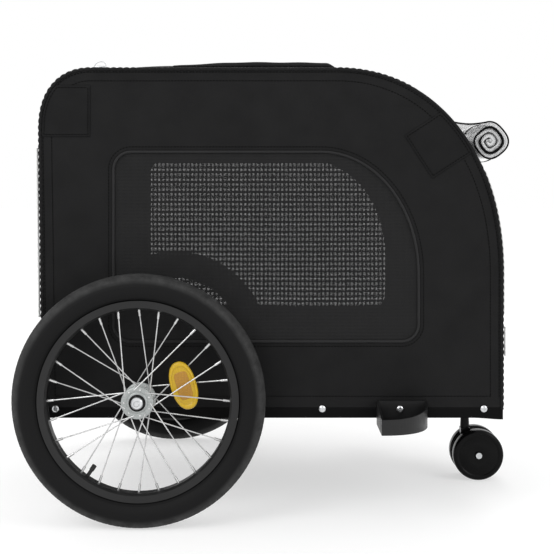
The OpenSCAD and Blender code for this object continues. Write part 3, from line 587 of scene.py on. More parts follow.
def windowLoop(inset):
    # a rectangle with three small round corners and one large one, anticlockwise from the lower left
    x0, z0 = rearX + window["back"], hemZ + window["up"]
    x1, z1, r = x0 + window["length"], z0 + window["height"], window["corner"]
    return np.vstack([
        superArc(x0 + r, z0 + r, r - inset, r - inset, 2, 180, 270, 40),
        superArc(x1 - r, z0 + r, r - inset, r - inset, 2, 270, 360, 40),
        superArc(x1 - window["bigLength"], z1 - window["bigHeight"], window["bigLength"] - inset,
                 window["bigHeight"] - inset, 2, 0, 90, 90),
        superArc(x0 + r, z1 - r, r - inset, r - inset, 2, 90, 180, 40)])


def closedEvenly(loop, step):
    # a closed loop with its points an equal length apart and the first one not repeated
    return evenly(np.vstack([loop, loop[:1]]), step)[:-1]


def closedPath(loop):
    # the loop with its first point again at its end
    return np.vstack([loop, loop[:1]])


def sideLoop(lowest, inset=0.0):
    # the whole side outline, closed along the hem
    return closedPath(overPath(inset, lowest))


def pairOfLoops(outline, hole, count):
    # an outline with its corners kept, and the points of the hole on the same rays from the hole's middle; a
    # corner is a point where the sine of the turn is over 0.3
    centre = (hole.max(0) + hole.min(0)) / 2
    leg = np.diff(outline, axis=0)
    length = np.linalg.norm(leg, axis=1)
    outer = evenly(outline, length.sum() / count)[:-1]
    turn = np.abs(leg[:-1, 0] * leg[1:, 1] - leg[:-1, 1] * leg[1:, 0])
    for corner in outline[1:-1][turn > 0.3 * (length[:-1] + 1e-9) * (length[1:] + 1e-9)]:
        outer[np.argmin(np.linalg.norm(outer - corner, axis=1))] = corner
    angle = np.arctan2(*(outer - centre).T[::-1])
    return outer, atAngles(closedEvenly(hole, 0.0005), centre, angle)


def discGrid(loop, rows):
    # rows of points from the middle of a loop to the loop; the first row is almost a point
    centre = (loop.max(0) + loop.min(0)) / 2
    t = np.linspace(0.002, 1, rows)[:, None, None]
    return centre + (loop[None] - centre) * t


# the edge binding swells between its stitches; its smooth stretch, from and to an x, is covered
binding = {"pitch": 0.0105, "inset": 0.0016, "width": 0.0052, "height": 0.0052, "rise": 0.5, "step": 0.0013,
           "smooth": (0.212, 0.322), "fade": 0.02, "corners": 10, "around": 0.0016}

for mark, side in sides.items():
    hole = windowLoop(window["piping"] / 2)
    outer, inner = pairOfLoops(sideLoop(hemZ + cabin["hemLap"]), hole, window["columns"])
    flatGrid = ringGrid(outer, inner, window["rows"])
    near = np.linspace(0, 1, window["rows"])[:, None]
    around = np.arange(len(outer))[None, :]
    pucker = (0.00028 * np.exp(-(1 - near) * 9) * np.sin(around * 2.1)   # small gathers along the sewn edge
              * smooth((flatGrid[..., 1] - 0.215) / 0.05))
    clothPiece("sidePanel" + mark, flatGrid, onSide(flatGrid[..., 0], flatGrid[..., 1], side, pucker),
               cabin["cloth"], "cloth", replaces=["side_panel_" + mark.lower()])

    net = discGrid(closedEvenly(hole, window["netStep"]), window["netRows"])
    atEdge, more = window["netDip"]
    dip = -atEdge - more * (1 - np.linspace(0, 1, window["netRows"])[:, None] ** 2)
    clothPiece("windowNet" + mark, net, onSide(net[..., 0], net[..., 1], side, dip), 0, "net", "window_mesh",
               replaces=["window_mesh_" + mark.lower()], rests=["sidePanel" + mark])

    loop = closedEvenly(hole, window["pipingStep"])
    cord = roundProfile(*window["pipingSize"])
    points, faces, caps = sweep(onSide(loop[:, 0], loop[:, 1], side, window["pipingLift"]), (0, 1, 0), cord,
                                closed=True)
    uv = tubeUv(np.arange(len(loop)) * window["pipingStep"], len(cord), window["pipingAround"])
    foldDown(makePiece("windowPiping" + mark, points, faces, "chassis", look["piping"], uv,
                       ["window_piping"]))

    edge = evenly(overPath(binding["inset"], hemZ + cabin["hemLap"] + 0.002), binding["step"])
    run = np.arange(len(edge)) * binding["step"]
    scallop = np.abs(np.sin(np.pi * run / binding["pitch"]))
    entry, leave = (smooth((edge[:, 0] - x) / binding["fade"]) for x in binding["smooth"])
    grow = 1 + binding["rise"] * (scallop - 0.4) * (1 - entry * (1 - leave))
    points, faces, caps = sweep(onSide(edge[:, 0], edge[:, 1], side, -0.0006), (0, 1, 0),
                                roundProfile(binding["width"], binding["height"], binding["corners"], 2.6),
                                grow=grow)
    uv = tubeUv(run, binding["corners"], binding["around"])
    foldDown(makePiece("edgeBinding" + mark, points, faces, "chassis", look["binding"], uv,
                       ["edge_trim"], caps))


def insideCabin(x, z, inset):
    # true where (x, z) lies inside the outline moved in by the inset
    nose = ((np.abs(x - noseX) / (cabin["noseLength"] - inset)) ** cabin["noseFullness"]
            + (np.abs(z - noseZ) / (cabin["noseHeight"] - inset)) ** cabin["noseFullness"]) < 1
    power = cabin["shoulderFullness"]
    shoulder = ((np.abs(x - shoulderX) / (cabin["shoulderLength"] - inset)) ** power
                + (np.abs(z - shoulderZ) / (cabin["shoulderHeight"] - inset)) ** power) < 1
    level = (x > rearX - cabin["lean"] + inset) & (x < frontX - inset) & (z < roofZ - inset)
    byNose, byShoulder = (x > noseX) & (z > noseZ), (x < shoulderX) & (z > shoulderZ)
    return np.where(byNose, nose, np.where(byShoulder, shoulder, level))


def reach(start, direction, inset, longest):
    # how far each start can go in a direction before it leaves the cabin, by halving
    near, far = np.zeros(len(start)), np.full(len(start), longest)
    for halving in range(24):
        half = (near + far) / 2
        at = start + direction * half[:, None]
        inside = insideCabin(at[:, 0], at[:, 1], inset)
        near, far = np.where(inside, half, near), np.where(inside, far, half)
    return near


# both corners are the middle of the patch's inner edge
patch = {"size": 0.083, "inset": 0.005, "lift": 0.0005, "thick": 0.0006, "seam": 0.0035,
         "rearCorner": (rearX - cabin["lean"] + 0.083, shoulderZ + 0.031),
         "frontCorner": (noseX + 0.134, noseZ + 0.191), "frontTurn": 33.0}


def patchGrid(middleOfEdge, turn, tall, inset, count=34):
    # rows that start on the patch's straight inner edge and run out to the cabin's edge
    out = np.array([np.cos(turn), np.sin(turn)])
    edge = np.array([-out[1], out[0]])
    v = np.linspace(-tall / 2, tall / 2, count)
    start = np.array(middleOfEdge) + v[:, None] * edge
    far = reach(start, out, inset, patch["size"] * 1.25)
    t = np.linspace(0, 1, count)
    return start[None] + out * (far[None, :] * t[:, None])[..., None]


def borderOf(grid):
    # the grid's outer edge as one closed path
    return np.vstack([grid[0], grid[1:, -1], grid[-1, -2::-1], grid[-2::-1, 0]])


thread = {"size": (0.0036, 0.0017, 0.0009), "pitch": 0.0052, "step": 0.003, "edgeRows": (0.0065, 0.0205),
          "hemRow": 0.035, "windowRow": 0.006}


def sideRow(path, side, lift=0.0):
    # one row of stitches along a path of (x, z) points on a side
    return stitches(onSide(path[:, 0], path[:, 1], side, lift), (0, side, 0), thread["size"], thread["pitch"])


for mark, side in sides.items():
    rows = []
    for name, corner, turn in (("Rear", patch["rearCorner"], np.pi),
                               ("Front", patch["frontCorner"], np.radians(patch["frontTurn"]))):
        flatGrid = patchGrid(corner, turn, patch["size"], patch["inset"])
        grid = onSide(flatGrid[..., 0], flatGrid[..., 1], side, patch["lift"] + patch["thick"])
        clothPiece("cornerPatch" + name + mark, flatGrid, grid, patch["thick"], "patch", wrap=False,
                   replaces=["corner_patches"], rests=["sidePanel" + mark])
        seamStart = np.array(corner) + patch["seam"] * np.array([np.cos(turn), np.sin(turn)])
        seam = borderOf(patchGrid(seamStart, turn, patch["size"] - 2 * patch["seam"],
                                  patch["inset"] + patch["seam"]))
        rows.append(sideRow(seam, side, patch["lift"] + patch["thick"]))
    for inset in thread["edgeRows"]:
        rows.append(sideRow(evenly(overPath(inset, hemZ + thread["hemRow"]), thread["step"]), side))
    count = 240
    seam = np.column_stack([np.linspace(rearX + 0.02, frontX - 0.02, count),
                            np.full(count, hemZ + thread["hemRow"])])
    rows.append(sideRow(seam, side))
    rows.append(sideRow(closedPath(closedEvenly(windowLoop(-thread["windowRow"]), thread["step"])), side))
    points, faces = joined(rows)
    foldDown(makePiece("sideStitches" + mark, points, faces, "chassis", look["thread"],
                       flat=True))
print("side panels made")


# The hem tape all round, screwed to the base rails.

hem = {"rows": 6, "thick": 0.0012, "gap": 0.0002, "droop": 0.0026, "droopLength": 0.05}


def hemStrip(name, grid, uv):
    # a strip of tape: the grid with a thickness towards the cabin's middle
    points, faces = shellOf(grid, hem["thick"], middle)
    makePiece(name, points, faces, "chassis", look["hem"],
              np.tile(uv.reshape(-1, 2), (2, 1)))


for mark, side in sides.items():
    x = np.linspace(rearX, frontX, 220)[None, :]
    droop = hem["droop"] * smooth((x - frontX + hem["droopLength"]) / hem["droopLength"])
    z = hemZ - droop + (cabin["hemTape"] + droop) * np.linspace(0, 1, hem["rows"])[:, None]
    grid = np.stack(np.broadcast_arrays(x, np.array(side * (sideY + hem["gap"])), z), -1)
    hemStrip("hemTape" + mark, grid, grid[..., [0, 2]])
for name, s0, s1 in (("Rear", 0.0, cabin["hemTape"]), ("Front", totalLength - cabin["hemTape"], totalLength)):
    s, y = np.linspace(s0, s1, hem["rows"])[:, None], np.linspace(-innerY, innerY, 120)[None, :]
    hemStrip("hemTape" + name, onBand(s, y, -hem["gap"]), np.stack(np.broadcast_arrays(y, s), -1))


# The band over the top: back panel with its door, roof, nose with its net window.

door = {"up": 0.043, "width": 0.4, "height": 0.4, "corner": 0.06, "gap": 0.001, "frame": 0.045,
        "panelColumns": 560, "panelRows": 30, "frameRows": 16, "netRows": 26}
noseWindow = {"up": 0.08, "down": 0.15, "width": 0.4, "corner": 0.05, "panelColumns": 620, "panelRows": 34,
              "netRows": 30, "netStep": 0.005}
roof = {"rows": 150, "columns": 170}


def archLoop(width, lowS, highS, corner, inset, flip=False):
    # a rectangle across the band with two round corners at its upper end, as (s, y)
    half, r = width / 2 - inset, max(corner - inset, 0.004)
    a, b = lowS + inset, highS - inset
    small = 0.006
    if flip:  # on the nose the outline runs downwards
        a, b = highS - inset, lowS + inset
    way = 1 if b > a else -1
    return np.vstack([
        superArc(a + way * small, half - small, way * -small, small, 2, 0, 90, 14),
        superArc(b - way * r, half - r, way * r, r, 2, 90, 0, 40),
        superArc(b - way * r, -half + r, way * r, r, 2, 0, -90, 40),
        superArc(a + way * small, -half + small, way * -small, small, 2, -90, 0, 14)])


def boxLoop(s0, s1, half):
    # a closed rectangle on the band, from s0 to s1 and half wide to each side
    corners = np.array([[s0, -half], [s1, -half], [s1, half], [s0, half], [s0, -half]])
    return np.vstack([np.linspace(corners[k], corners[k + 1], 60)[:-1] for k in range(4)] + [corners[:1]])


def bandPiece(name, flatGrid, thickness, material, sink=0.0, **given):
    # cloth on the band: each flat point (s, y) is put on the outline and sunk by its sag
    s, y = flatGrid[..., 0], flatGrid[..., 1]
    return clothPiece(name, flatGrid, onBand(s, y, sink + sag(s, y)), thickness, material, **given)


lap = cabin["hemLap"]
s, y = np.meshgrid(np.linspace(shoulderS, noseS, roof["rows"]), np.linspace(-innerY, innerY, roof["columns"]),
                   indexing="ij")
bandPiece("roofPanel", np.stack([s, y], -1), cabin["cloth"], "cloth", wrap=False, replaces=["roof_panel"])

doorS = (lengthAtZ(hemZ + door["up"], False), lengthAtZ(hemZ + door["up"] + door["height"], False))
outer, inner = pairOfLoops(boxLoop(lap, shoulderS, innerY),
                           archLoop(door["width"], *doorS, door["corner"], -door["gap"]),
                           door["panelColumns"])
bandPiece("backPanel", ringGrid(outer, inner, door["panelRows"]), cabin["cloth"], "cloth",
          replaces=["back_panel"])

noseWinS = (lengthAtZ(roofZ - noseWindow["down"], True), lengthAtZ(hemZ + noseWindow["up"], True))
outer, inner = pairOfLoops(boxLoop(noseS, totalLength - lap, innerY),
                           archLoop(noseWindow["width"], *noseWinS, noseWindow["corner"], 0.0, True),
                           noseWindow["panelColumns"])
bandPiece("nosePanel", ringGrid(outer, inner, noseWindow["panelRows"]), cabin["cloth"], "cloth",
          replaces=["nose_panel"])


def doorLoop(inset, step):
    # the door's outline moved in by the inset, with points a step apart
    return closedEvenly(archLoop(door["width"], *doorS, door["corner"], inset), step)


def noseLoop(inset, step):
    # the nose window's outline moved in by the inset, with points a step apart
    return closedEvenly(archLoop(noseWindow["width"], *noseWinS, noseWindow["corner"], inset, True), step)


net = discGrid(noseLoop(0.0, noseWindow["netStep"]), noseWindow["netRows"])
bandPiece("noseNet", net, 0, "net", cabin["netSink"], slot="window_mesh", replaces=["nose_mesh"],
          rests=["nosePanel"])

frameOut = doorLoop(0.0, 0.004)
frameCentre = (frameOut.max(0) + frameOut.min(0)) / 2
doorAngles = np.arctan2(*(frameOut - frameCentre).T[::-1])
frameIn = atAngles(doorLoop(door["frame"], 0.0005), frameCentre, doorAngles)
bandPiece("rearDoor", ringGrid(frameOut, frameIn, door["frameRows"]), cabin["cloth"], "cloth", body="door",
          replaces=["rear_door"], rests=["backPanel"])
bandPiece("rearDoorNet", discGrid(frameIn, door["netRows"]), 0, "net", cabin["netSink"], slot="window_mesh",
          body="door", rests=["rearDoor"])


def bandLoopSweep(name, loop, lift, profile, material, body="chassis", replaces=()):
    # a cord or tape that follows a loop on the band
    path = onBand(loop[:, 0], loop[:, 1], sag(loop[:, 0], loop[:, 1]) - lift)
    points, faces, caps = sweep(path, bandNormal(loop[:, 0]), profile, closed=True)
    uv = tubeUv(np.arange(len(loop)) * window["pipingStep"], len(profile), window["pipingAround"])
    return foldDown(makePiece(name, points, faces, body, look[material], uv, replaces))


bandPiping = {"size": (0.0042, 0.0044), "lift": 0.0006}
cord = roundProfile(*bandPiping["size"])
bandLoopSweep("nosePiping", noseLoop(-0.001, window["pipingStep"]), bandPiping["lift"], cord, "piping")
bandLoopSweep("doorPiping", doorLoop(door["frame"], window["pipingStep"]), bandPiping["lift"], cord, "piping",
              "door")

# zip: a row of teeth on the door and a row on the back panel
teeth = {"size": (0.0016, 0.0032, 0.0016), "pitch": 0.0027, "doorInset": 0.0019, "panelInset": -0.0029}
for name, inset, body in (("doorZipTeeth", teeth["doorInset"], "door"),
                          ("panelZipTeeth", teeth["panelInset"], "chassis")):
    loop = doorLoop(inset, thread["step"])
    keep = loop[:, 0] > doorS[0] + 0.012
    first = int(np.argmax(~keep & np.roll(keep, -1)))
    loop = np.roll(loop, -first - 1, 0)[:keep.sum()]
    path = onBand(loop[:, 0], loop[:, 1], sag(loop[:, 0], loop[:, 1]) - 0.0004)
    points, faces = stitches(path, bandNormal(loop[:, 0]), teeth["size"], teeth["pitch"])
    foldDown(makePiece(name, points, faces, body, look["zip"], flat=True))


def bandStitches(name, paths, body="chassis"):
    # rows of stitches along paths of (s, y) points, a hair above the cloth
    rows = []
    for path in paths:
        at = onBand(path[:, 0], path[:, 1], sag(path[:, 0], path[:, 1]) - 0.0001)
        rows.append(stitches(at, bandNormal(path[:, 0]), thread["size"], thread["pitch"]))
    points, faces = joined(rows)
    return foldDown(makePiece(name, points, faces, body, look["thread"], flat=True))


# how far each seam lies from what it runs beside
seams = {"edge": 0.012, "hem": 0.036, "shoulder": (0.004, 0.01), "nose": (-0.004, 0.004),
         "aroundNoseNet": 0.008, "aroundDoor": 0.013, "onDoor": 0.008, "doorNet": 0.006}


def level(s, count=150):
    # a line straight across the band
    return np.column_stack([np.full(count, s), np.linspace(-innerY + 0.01, innerY - 0.01, count)])


def lengthwise(y, count=500):
    # a line along the band from hem to hem
    return np.column_stack([np.linspace(0.035, totalLength - 0.035, count), np.full(count, y)])


bandStitches("bandStitches", [
    lengthwise(-innerY + seams["edge"]), lengthwise(innerY - seams["edge"]),
    level(seams["hem"]), level(totalLength - seams["hem"]),
    *[level(shoulderS + by) for by in seams["shoulder"]], *[level(noseS + by) for by in seams["nose"]],
    closedPath(noseLoop(-seams["aroundNoseNet"], thread["step"])),
    closedPath(doorLoop(-seams["aroundDoor"], thread["step"]))])
bandStitches("doorStitches", [closedPath(doorLoop(seams["onDoor"], thread["step"])),
                              closedPath(doorLoop(door["frame"] - seams["doorNet"], thread["step"]))], "door")

# pale reflective tape up the rear edges and a short tab low on the nose edges; a pale strip higher up each
# nose edge is a painted highlight
tape = {
    "strips": (("Rear", (0.325, 0.600), False, 0.0042), ("Front", (0.262, 0.309), True, 0.0042),
               # the third strip, higher up the nose edge, is a pale painted highlight, not tape
               ("Nose", (0.330, 0.560), True, 0.0018)),   # name, from and to height, on the front, lift
    "width": 0.006, "height": 0.003, "corners": 8, "inset": 0.003, "around": 0.001, "swell": 0.3,
}
for mark, side in sides.items():
    for name, (z0, z1), front, lift in tape["strips"]:
        s = np.arange(*sorted((lengthAtZ(z0, front), lengthAtZ(z1, front))), binding["step"])
        grow = 1 + tape["swell"] * (np.abs(np.sin(np.pi * s / binding["pitch"])) - 0.5)
        points, faces, caps = sweep(onBand(s, side * (innerY - tape["inset"]), -lift), (0, 1, 0),
                                    roundProfile(tape["width"], tape["height"], tape["corners"], 3),
                                    grow=grow)
        uv = tubeUv(s, tape["corners"], tape["around"])
        foldDown(makePiece("reflectiveTape" + name + mark, points, faces, "chassis",
                           look["reflective"], uv, (), caps))

# the roof's folded flap: a low crown, rounded at its ends, with a seam along each edge
flapLow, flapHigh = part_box("roof_flap")
flap = {"rows": 90, "columns": 130, "rearRound": 0.008, "frontRound": 0.02, "crown": 0.0122}
x, y = np.meshgrid(np.linspace(flapLow[0], flapHigh[0], flap["rows"]),
                   np.linspace(-flapHigh[1], flapHigh[1], flap["columns"]), indexing="ij")
under = roofZ + bulge(x, y)
front = np.sqrt(np.clip(1 - np.clip(1 - (flapHigh[0] - x) / flap["frontRound"], 0, 1) ** 2, 0, 1))
rear = 0.2 + 0.8 * smooth((x - flapLow[0]) / 0.11) - 0.2 * np.exp(-(x - flapLow[0]) / flap["rearRound"])
edges = 0.3 + 0.7 * np.sqrt(1 - np.clip(1 - (flapHigh[1] - np.abs(y)) / 0.006, 0, 1) ** 2)
wrinkle = 0.0005 * np.sin(70 * y + 22 * x) + 0.0004 * np.sin(31 * y - 90 * x)
over = under + 0.0006 + front * rear * edges * (flap["crown"] - cabin["bulge"] + wrinkle)
flatGrid, topGrid = np.stack([x, y], -1), np.stack([x, y, over], -1)
points, faces = wallBetween(topGrid, np.stack([x, y, under + 0.0002], -1))
roofFlap = makePiece("roofFlap", points, faces, "chassis", look["cloth"],
                     np.tile(flatGrid.reshape(-1, 2), (2, 1)), ["roof_flap"])
foldDown(roofFlap)
print("band, door and flap made")


# Clear rain cover: a sheet on the nose, a free stretch, and a roll with black bound edges.

rollLow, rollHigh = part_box("cover_roll")
rollX, rollZ = (rollLow[0] + rollHigh[0]) / 2, (rollLow[2] + rollHigh[2]) / 2
cover = {"half": rollHigh[1], "radius": (rollHigh[2] - rollLow[2]) / 2, "pitch": 0.0086, "turns": 3.3,
         "startAngle": 102.0, "square": 0.045, "layer": 0.0058, "boundTurns": 2.85, "boundWidth": 0.004,
         "boundThick": 0.0029, "boundCorners": 8, "boundRun": 0.0018, "boundAround": 0.001,
         "sheetStart": noseX + 0.005, "sheetEnd": noseX + 0.19, "lift": 0.0012, "step": 0.003, "columns": 90,
         "thick": 0.0006, "freeSag": 0.0035, "narrower": 0.985, "rollInset": 0.0014}


def spiralPath(turns, inwards, step=0.0016):
    # clockwise spiral whose radius shrinks by the pitch each turn, pressed towards a rounded square
    t = np.linspace(0, turns, int(turns * 2 * np.pi * cover["radius"] / step))
    angle = np.radians(cover["startAngle"]) - 2 * np.pi * t
    radius = cover["radius"] - inwards - cover["pitch"] * t
    radius = np.maximum(radius, 0.0015) * (1 + cover["square"] * (np.cos(4 * angle + 0.2) + 0.5))
    return np.column_stack([rollX + radius * np.cos(angle), rollZ + radius * np.sin(angle)])


s0, s1 = lengthAtX(cover["sheetStart"]), lengthAtX(cover["sheetEnd"])
onNose = onBand(np.linspace(s0, s1, 90), 0.0, -cover["lift"])[:, [0, 2]]
rollStart = spiralPath(0.1, 0.0)[0]
t = np.linspace(0, 1, 26)[1:, None]
free = onNose[-1] + (rollStart - onNose[-1]) * t
free[:, 1] -= cover["freeSag"] * np.sin(np.pi * t[:, 0])
coverPath = evenly(np.vstack([onNose, free]), cover["step"])
across = np.linspace(-cover["half"], cover["half"], cover["columns"])
coverGrid = np.stack(np.broadcast_arrays(coverPath[:, None, 0], across[None, :],
                                         coverPath[:, None, 1]), -1).copy()
coverGrid[..., 2] += 0.0006 * np.sin(40 * across)[None, :] * np.linspace(0, 1, len(coverPath))[:, None]
flatGrid = np.stack(np.meshgrid(np.arange(len(coverPath)) * cover["step"], across, indexing="ij"), -1)
points, faces = shellOf(coverGrid, cover["thick"], middle)
rainSheet = makePiece("rainCoverSheet", points, faces, "chassis", look["film"],
                      np.tile(flatGrid.reshape(-1, 2), (2, 1)), ["cover_sheet"])
foldDown(rainSheet)

spiral = spiralPath(cover["turns"], cover["layer"] / 2 + cover["rollInset"])
rollGrid = np.stack(np.broadcast_arrays(spiral[:, None, 0], across[None, ::2], spiral[:, None, 1]), -1).copy()
rollGrid[..., 1] *= cover["narrower"]
tangent = np.gradient(rollGrid, axis=0)
normal = np.cross(tangent, (0.0, 1.0, 0.0))
normal /= np.linalg.norm(normal, axis=2, keepdims=True)
points, faces = wallBetween(rollGrid + normal * cover["layer"] / 2, rollGrid - normal * cover["layer"] / 2)
rainRoll = makePiece("rainCoverRoll", points, faces, "chassis", look["rollFilm"], None,
                     ["cover_roll"])
foldDown(rainRoll)

bound = spiralPath(cover["boundTurns"], 0.0)
boundPath = np.vstack([coverPath[:-1], bound])
turn = np.concatenate([np.zeros(len(coverPath) - 1), np.linspace(0, cover["boundTurns"], len(bound))])
grow = 1 + 0.55 * smooth((turn - 0.8) / 0.3) - 1.2 * smooth((turn - 1.7) / 0.3)   # second turn lies doubled
for mark, side in sides.items():
    path = np.column_stack([boundPath[:, 0], np.full(len(boundPath), side * cover["half"]), boundPath[:, 1]])
    points, faces, caps = sweep(path, (0, 1, 0), roundProfile(cover["boundWidth"], cover["boundThick"],
                                                              cover["boundCorners"], 3), grow=grow)
    uv = tubeUv(np.arange(len(path)) * cover["boundRun"], cover["boundCorners"], cover["boundAround"])
    foldDown(makePiece("coverEdging" + mark, points, faces, "chassis", look["hem"], uv, (),
                       caps))

# two straps hold the roll: once round it, then down to the nose
straps = {"y": (-0.15, 0.15), "width": 0.02, "thick": 0.0012, "gap": 0.0008, "footDown": 0.052, "step": 0.003,
          "corners": 12, "around": 0.0016}
angle = np.radians(np.linspace(150, -128, 90))
loop = np.column_stack([rollX + (cover["radius"] + straps["gap"]) * np.cos(angle),
                        rollZ + (cover["radius"] + straps["gap"]) * np.sin(angle)])
foot = onBand(np.array([lengthAtZ(rollZ - straps["footDown"], True)]), 0.0, -0.001)[0, [0, 2]]
strapPath = evenly(np.vstack([loop, foot]), straps["step"])
for mark, y in zip("RL", straps["y"]):
    path = np.column_stack([strapPath[:, 0], np.full(len(strapPath), y), strapPath[:, 1]])
    points, faces, caps = sweep(path, (0, 1, 0), roundProfile(straps["width"], straps["thick"],
                                                              straps["corners"], 5))
    uv = tubeUv(np.arange(len(path)) * straps["step"], straps["corners"], straps["around"])
    foldDown(makePiece("rollStrap" + mark, points, faces, "chassis", look["hem"], uv,
                       ["cover_straps"], caps))
print("rain cover made")


# Wheels: tyre with tread, cast hub, seal, spoke heads, reflector; rim, spokes and valve are the CAD's own.

hubLow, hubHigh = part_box("hub_r")
axleX, axleZ = (hubLow[0] + hubHigh[0]) / 2, (hubLow[2] + hubHigh[2]) / 2
wheelY, hubHalf = -(hubLow[1] + hubHigh[1]) / 2, (hubHigh[1] - hubLow[1]) / 2
wheel = {
    "radius": (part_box("tyre_r")[1][2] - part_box("tyre_r")[0][2]) / 2, "section": 0.0222, "rim": 0.158,
    "turns": 720, "tread": 0.0011, "wall": 0.0035, "blocks": 132,
    "flange": 0.0255, "hole": 0.0205, "flangeGap": 0.04, "barrel": 0.013, "spokes": 28, "lace": 360 / 28 * 4,
    "reflectorAt": 0.0745, "reflectorTurn": 18.7, "reflectorSize": (0.041, 0.077),
    "panelSize": (0.022, 0.044),
    "reflectorThick": 0.007, "bowl": 0.0016,   # how deep the lens's middle lies under its rim
    "head": (0.0019, 0.0012),   # a spoke head's radius and half height
}


def tyreGrid(side):
    # a round section turned about the axle; blocks rise on the tread, two fine ribs run round the sidewall
    outer = np.radians(np.linspace(-152, 152, 84))
    inner = np.radians(np.linspace(152, -152, 16))
    section, depth = wheel["section"], wheel["wall"]
    middleR = wheel["radius"] - section
    turn = np.linspace(0, 2 * np.pi, wheel["turns"], endpoint=False)[:, None]
    arc = outer[None, :]
    onTread = smooth((1.05 - np.abs(arc)) / 0.06)
    grooves = np.minimum(1, np.abs(np.sin(arc * 6.5)) * 3.2)
    lateral = np.minimum(1, np.abs(np.sin(wheel["blocks"] / 2 * turn + 1.4 * np.abs(arc))) * 2.6)
    shoulder = smooth((np.abs(arc) - 0.55) / 0.08)
    blocks = grooves * (lateral * (0.35 + 0.65 * shoulder) + 0.65 * (1 - shoulder))
    ribs = (0.0005 * np.exp(-((np.abs(arc) - 1.45) / 0.025) ** 2)
            + 0.0006 * np.exp(-((np.abs(arc) - 2.25) / 0.03) ** 2))
    swell = section - wheel["tread"] * onTread * (1 - blocks) + ribs
    outR, outY = middleR + swell * np.cos(arc), 0.985 * swell * np.sin(arc) + 0 * turn
    thick = section - depth
    inR = middleR + thick * np.cos(inner)[None, :] + 0 * turn
    inY = thick * np.sin(inner)[None, :] + 0 * turn
    radius, out = np.concatenate([outR + 0 * turn, inR], 1), np.concatenate([outY, inY], 1)
    radius = np.maximum(radius, wheel["rim"] + 0.0002)
    return np.stack([axleX + radius * np.cos(turn), side * wheelY + out, axleZ + radius * np.sin(turn)], -1)


def hubProfile():
    # half of a cast hub from its middle to its outer face, then the bore; mirrored to both ends
    g, h, f, b = wheel["flangeGap"] / 2, hubHalf, wheel["flange"], wheel["barrel"]
    half = np.array([
        (b - 0.001, 0.0), (b, g * 0.55), (b + 0.002, g * 0.8), (f - 0.006, g - 0.0019),
        (f - 0.001, g - 0.0015), (f, g - 0.0008), (f, g + 0.0008), (f - 0.001, g + 0.0015),
        (f - 0.0062, g + 0.0017), (0.0172, g + 0.0018), (0.0168, g + 0.0012), (0.0162, g + 0.0012),
        (0.0158, g + 0.0022), (0.0140, h), (0.0066, h)])
    return np.concatenate([half, half[::-1] * (1, -1)])


def reflectorGrid(side, shape, heights, size, fullness):
    # a closed lens: rings of a superellipse, shape giving their sizes and heights how far each stands out
    angle = np.linspace(0, 2 * np.pi, 96, endpoint=False)[None, :]
    c, s = np.cos(angle), np.sin(angle)
    a = shape[:, None] * size[0] / 2 * np.sign(c) * np.abs(c) ** (2 / fullness)
    b = shape[:, None] * size[1] / 2 * np.sign(s) * np.abs(s) ** (2 / fullness)
    prisms = 0.00035 * np.cos(a * 1500) * np.cos(b * 1500)   # small cells, on the lens's middle only
    height = heights[:, None] + np.where(shape[:, None] < 0.8, prisms, 0)
    turn = np.radians(wheel["reflectorTurn"])
    tilt = turn - np.radians(2)
    px = axleX + wheel["reflectorAt"] * np.cos(turn) + a * np.cos(tilt) - b * np.sin(tilt)
    pz = axleZ + wheel["reflectorAt"] * np.sin(turn) + a * np.sin(tilt) + b * np.cos(tilt)
    front = np.stack([px, side * wheelY + height, pz], -1)
    back = np.stack([px, side * wheelY - height, pz], -1)
    grid = np.concatenate([front, back[::-1]])
    faces, points = gridFaces(*grid.shape[:2], True), grid.reshape(-1, 3)
    return points, outward(points, faces)


def reflectorRim(side):
    # a bowl-shaped lens whose rim stands above its middle and rounds over to its edge
    shape = np.concatenate([np.linspace(0, 0.74, 10), np.linspace(0.76, 1.0, 14)])
    rim = np.clip((shape - 0.76) / 0.24, 0, 1)
    half = wheel["reflectorThick"] / 2
    heights = half - wheel["bowl"] + wheel["bowl"] * smooth(rim * 2.6)
    heights = heights * np.sqrt(np.clip(1 - np.clip((rim - 0.45) / 0.55, 0, 1) ** 2 * 0.97, 0, 1))
    return reflectorGrid(side, shape, heights, wheel["reflectorSize"], 2.25)


def reflectorPanel(side):
    # the inset prism panel, a rounded rectangle 0.9 mm proud of the bowl
    shape = np.concatenate([np.linspace(0, 0.9, 34), np.linspace(0.92, 1.0, 6)])
    half = wheel["reflectorThick"] / 2
    fall = np.clip((shape - 0.9) / 0.1, 0, 1)
    heights = half - wheel["bowl"] + 0.0009 * np.sqrt(np.clip(1 - fall ** 2, 0, 1))
    return reflectorGrid(side, shape, heights, wheel["panelSize"], 5.0)


def spokeHeads(side):
    # a small dome on each flange hole, on the side that its spoke leaves from
    t = np.linspace(0, np.pi, 7)[:, None]
    turn = np.linspace(0, 2 * np.pi, 8, endpoint=False)[None, :]
    wide, tall = wheel["head"]
    ball = np.stack([wide * np.sin(t) * np.cos(turn), tall * np.cos(t) + 0 * turn,
                     wide * np.sin(t) * np.sin(turn)], -1)
    parts = []
    for flange in (-1, 1):
        i = np.arange(wheel["spokes"] // 2)
        way = np.where(i % 2 == 0, 1, -1)
        step = 720 / wheel["spokes"]
        angle = np.radians(step * i + (0 if flange > 0 else step / 2) + way * wheel["lace"])
        # the spoke leans off one face of the flange, and its head sits on the other
        out = flange * (wheel["flangeGap"] / 2 - way * 0.0019)
        centre = np.stack([axleX + wheel["hole"] * np.cos(angle), side * (wheelY + out),
                           axleZ + wheel["hole"] * np.sin(angle)], -1)
        for c in centre:
            parts.append(((c + ball).reshape(-1, 3), gridFaces(7, 8, True)))
    points, faces = joined(parts)
    return points, outward(points, faces)


